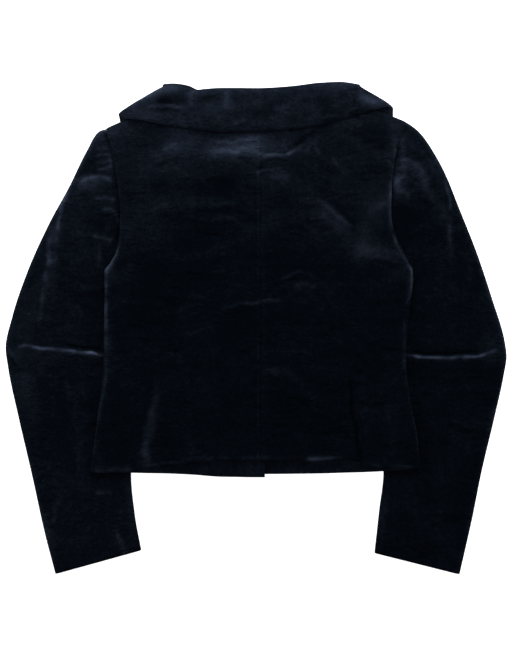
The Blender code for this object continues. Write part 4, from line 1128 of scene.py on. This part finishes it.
def sheet_mesh(name, mid, pile_sheen, thin):
    """Closed sheet: the grid moved by half the cloth along its normal, both
    ways, less where it is pressed thin, and a strip of faces round its rim."""
    du = np.gradient(mid, axis=1, edge_order=2)
    dv = np.gradient(mid, axis=0, edge_order=2)
    off = unit(np.cross(du, dv)) * LOW * np.broadcast_to(thin, mid.shape[:2])[..., None]
    rows, cols = mid.shape[:2]
    count = rows * cols
    points = np.concatenate([(mid + off).reshape(-1, 3), (mid - off).reshape(-1, 3)])
    grid = np.arange(count).reshape(rows, cols)
    quad = np.stack([grid[:-1, :-1], grid[:-1, 1:], grid[1:, 1:], grid[1:, :-1]], axis=-1).reshape(-1, 4)
    loop = np.concatenate([grid[0, :-1], grid[:-1, -1], grid[-1, :0:-1], grid[:0:-1, 0]])
    after = np.roll(loop, -1)
    rim = np.stack([after, loop, loop + count, after + count], axis=-1)
    faces = np.concatenate([quad, quad[:, ::-1] + count, rim])
    piece = new_piece(name, (points + PLACE) * MM, faces)
    # each point carries the painted sheen and shade, to which the shader adds the grain's random tone
    sheen_and_grain = piece.data.attributes.new("sheen_and_grain", "FLOAT", "POINT")
    sheen_and_grain.data.foreach_set("value", np.tile(pile_sheen.ravel(), 2).astype(np.float32))
    return piece


def volume(points, faces):
    """Volume inside closed quads: a sixth of the sum of the corners' products."""
    a, b, c, d = (points[faces[:, i]] for i in range(4))
    return (np.einsum("ij,ij->", a, np.cross(b, c)) + np.einsum("ij,ij->", a, np.cross(c, d))) / 6


def new_piece(name, points, faces):
    """Object of these quads, turned to face outwards and shaded smooth."""
    if volume(points, faces) < 0:
        faces = faces[:, ::-1]
    mesh = bpy.data.meshes.new(name)
    mesh.vertices.add(len(points))
    mesh.vertices.foreach_set("co", points.astype(np.float32).ravel())
    mesh.loops.add(faces.size)
    mesh.loops.foreach_set("vertex_index", faces.astype(np.int32).ravel())
    mesh.polygons.add(len(faces))
    mesh.polygons.foreach_set("loop_start", np.arange(0, faces.size, 4, dtype=np.int32))
    mesh.update(calc_edges=True)
    mesh.validate()
    mesh.shade_smooth()
    mesh.set_sharp_from_angle(angle=math.radians(SHARP))
    return in_scene(name, mesh)


def cloth(node, mid, pile_sheen, thin=1.0):
    """Sheet of velvet in place of a node's solid."""
    piece = sheet_mesh("cloth_" + node, mid, pile_sheen, thin)
    piece.data.materials.append(VELVET)
    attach(piece, "root")
    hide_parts(node)
    return piece


# Materials

def set_inputs(node, values):
    """Sets a node's inputs, by their names."""
    for name, value in values.items():
        node.inputs[name].default_value = value


def pile_sheen_group():
    """Colour and height of the pile. Its lightness is the painted sheen and shade given,
    plus grains of noise from coarse to fine, the pile's random tone; squared, it mixes dark and light.
    The height is the grain less crush marks, which are drawn-out ridged noise, strong in some places only."""
    group = bpy.data.node_groups.new("pile_sheen", "ShaderNodeTree")
    for name, kind in (("Dark", "Color"), ("Light", "Color"), ("Painted Sheen", "Float")):
        group.interface.new_socket(name, in_out="INPUT", socket_type="NodeSocket" + kind)
    for name, kind in (("Color", "Color"), ("Height", "Float")):
        group.interface.new_socket(name, in_out="OUTPUT", socket_type="NodeSocket" + kind)
    nodes, links = group.nodes, group.links
    given, made = nodes.new("NodeGroupInput"), nodes.new("NodeGroupOutput")
    place = nodes.new("ShaderNodeTexCoord").outputs["Object"]

    def noise(vector, scale, detail):
        node = nodes.new("ShaderNodeTexNoise")
        set_inputs(node, {"Scale": scale, "Detail": detail})
        links.new(vector, node.inputs["Vector"])
        return node.outputs["Fac"]

    def work(kind, a, b, c=0.0):
        node = nodes.new("ShaderNodeMath")
        node.operation = kind
        for socket, value in zip(node.inputs, (a, b, c)):
            if isinstance(value, float):
                socket.default_value = value
            else:
                links.new(value, socket)
        return node.outputs["Value"]

    drawn = nodes.new("ShaderNodeMapping")
    set_inputs(drawn, {"Scale": CRUSH_DRAWN})
    links.new(place, drawn.inputs["Vector"])

    def ridges(mark):
        away = work("SUBTRACT", noise(drawn.outputs["Vector"], mark.scale, 1), 0.5)
        some = work("MULTIPLY_ADD", noise(place, mark.places, 2), CRUSH_CONTRAST, CRUSH_START)
        some = work("MINIMUM", work("MAXIMUM", some, CRUSH_LEAST), 1.0)
        return work("MULTIPLY", work("ABSOLUTE", away, 0.0), some)

    sheen_and_grain, height = given.outputs["Painted Sheen"], 0.0
    for grain in GRAINS:
        tone = noise(place, grain.scale, grain.detail)
        sheen_and_grain = work("MULTIPLY_ADD", tone, grain.light, sheen_and_grain)
        if grain.height:
            height = work("MULTIPLY_ADD", tone, grain.height, height)
    for mark in CRUSHED:
        height = work("MULTIPLY_ADD", ridges(mark), -mark.depth, height)
    light = work("MAXIMUM", work("SUBTRACT", sheen_and_grain, GRAIN_MEAN), 0.0)
    blend = nodes.new("ShaderNodeMix")
    blend.data_type = "RGBA"
    links.new(work("POWER", light, 2.0), blend.inputs["Factor"])
    links.new(given.outputs["Dark"], blend.inputs[6])
    links.new(given.outputs["Light"], blend.inputs[7])
    links.new(blend.outputs[2], made.inputs["Color"])
    links.new(height, made.inputs["Height"])
    return group


def plain_material(name, finish):
    """New material with this finish, and its nodes."""
    material = bpy.data.materials.new(name)
    material.use_nodes = True
    nodes = material.node_tree.nodes
    set_inputs(nodes["Principled BSDF"], finish)
    return material, nodes


def pile_sheen_material(name, finish, dark, light):
    """Material coloured by the pile group, between its own dark and light, by the grain's random tone and
    any painted sheen and shade given.
    """
    material, nodes = plain_material(name, finish)
    pile_sheen = nodes.new("ShaderNodeGroup")
    pile_sheen.node_tree = PILE_SHEEN
    set_inputs(pile_sheen, {"Dark": (*dark, 1), "Light": (*light, 1)})
    shader = nodes["Principled BSDF"]
    material.node_tree.links.new(pile_sheen.outputs["Color"], shader.inputs["Base Color"])
    return material, nodes, pile_sheen, shader


def velvet():
    """Near-black navy pile: dark when faced, lit by its sheen where it turns away, and carrying painted
    sheen and shade in its colour.
    """
    finish = {
        "Roughness": 0.9, "Specular IOR Level": 0.0,
        "Sheen Weight": 0.06, "Sheen Roughness": 0.35, "Sheen Tint": (0.70, 0.80, 1.0, 1),
    }
    dark, light = (0.0008, 0.0016, 0.0029), (0.047, 0.062, 0.101)
    material, nodes, pile_sheen, shader = pile_sheen_material("velvet", finish, dark, light)
    links = material.node_tree.links
    # the cloth's painted sheen and shade, read from its attribute
    sheen_and_grain = nodes.new("ShaderNodeAttribute")
    sheen_and_grain.attribute_name = "sheen_and_grain"
    bump = nodes.new("ShaderNodeBump")
    set_inputs(bump, {"Strength": 1.0, "Distance": 0.006})
    links.new(sheen_and_grain.outputs["Fac"], pile_sheen.inputs["Painted Sheen"])
    links.new(pile_sheen.outputs["Height"], bump.inputs["Height"])
    links.new(bump.outputs["Normal"], shader.inputs["Normal"])
    return material


def button_face():
    """Dark navy with a satin face."""
    dark, light = (0.006, 0.007, 0.011), (0.012, 0.014, 0.020)
    return pile_sheen_material("button", {"Roughness": 0.45}, dark, light)[0]


# Floor, lights and camera

def floor():
    """Pale floor far wider than the view."""
    corners = [(-1, -1), (1, -1), (1, 1), (-1, 1)]
    mesh = bpy.data.meshes.new("floor")
    mesh.from_pydata([(FLOOR_HALF * x, FLOOR_HALF * y, 0) for x, y in corners], [], [(0, 1, 2, 3)])
    ground = in_scene("floor", mesh)
    finish = {
        "Base Color": (0.9, 0.9, 0.9, 1), "Roughness": 1.0, "Specular IOR Level": 0.0,
        "Emission Color": (1, 1, 1, 1), "Emission Strength": 0.9,
    }
    ground.data.materials.append(plain_material("floor", finish)[0])


def studio():
    """An even pale room, and soft boxes on all four sides, each turned to its aim."""
    scene = bpy.context.scene
    scene.view_settings.view_transform = "Standard"
    scene.world = bpy.data.worlds.new("room")
    scene.world.use_nodes = True
    set_inputs(scene.world.node_tree.nodes["Background"], {"Color": (1, 1, 1, 1), "Strength": 0.18})
    for box in SOFT_BOXES:
        light = bpy.data.lights.new(box.name, "AREA")
        light.shape = "RECTANGLE"
        light.size, light.size_y = box.size
        light.energy = box.power
        lamp = in_scene(box.name, light)
        lamp.location = box.place
        lamp.rotation_euler = (Vector(box.aim) - Vector(box.place)).to_track_quat("-Z", "Y").to_euler()


def camera():
    """Straight above, with the collar at the top of the picture."""
    view = bpy.data.cameras.new("camera")
    view.lens, view.sensor_width = LENS, SENSOR
    eye = in_scene("camera", view)
    eye.location = (*FRAME_CENTRE, HIGH * MM + FRAME_HEIGHT * LENS / SENSOR)
    bpy.context.scene.camera = eye


PLACE = placement()
PILE_SHEEN = pile_sheen_group()
VELVET = velvet()
for side, word in ((-1, "left"), (1, "right")):
    panel = front(side)
    cloth("front_" + word, panel, front_sheen_and_shade(panel))
    panel = sleeve_top(side)
    cloth("sleeve_top_" + word, panel, sleeve_sheen_and_shade(side, panel), sleeve_thin(side))
    panel = sleeve_under(side)
    cloth("sleeve_under_" + word, panel, sleeve_sheen_and_shade(side, panel), sleeve_thin(side))
    panel = back_side(side)
    cloth("back_side_" + word, panel, back_sheen_and_shade(panel), back_thin(side, panel))
    panel = back_centre(side)
    cloth("back_centre_" + word, panel, back_sheen_and_shade(panel), back_thin(side, panel))
panel = collar()
cloth("collar", panel, collar_sheen_and_shade(panel), collar_thin(panel))
BUTTON = button_face()
for number in range(1, len(BUTTON_HEIGHTS) + 1):
    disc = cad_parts[f"button_{number}"]
    disc.data.materials.clear()
    disc.data.materials.append(BUTTON)
floor()
studio()
camera()
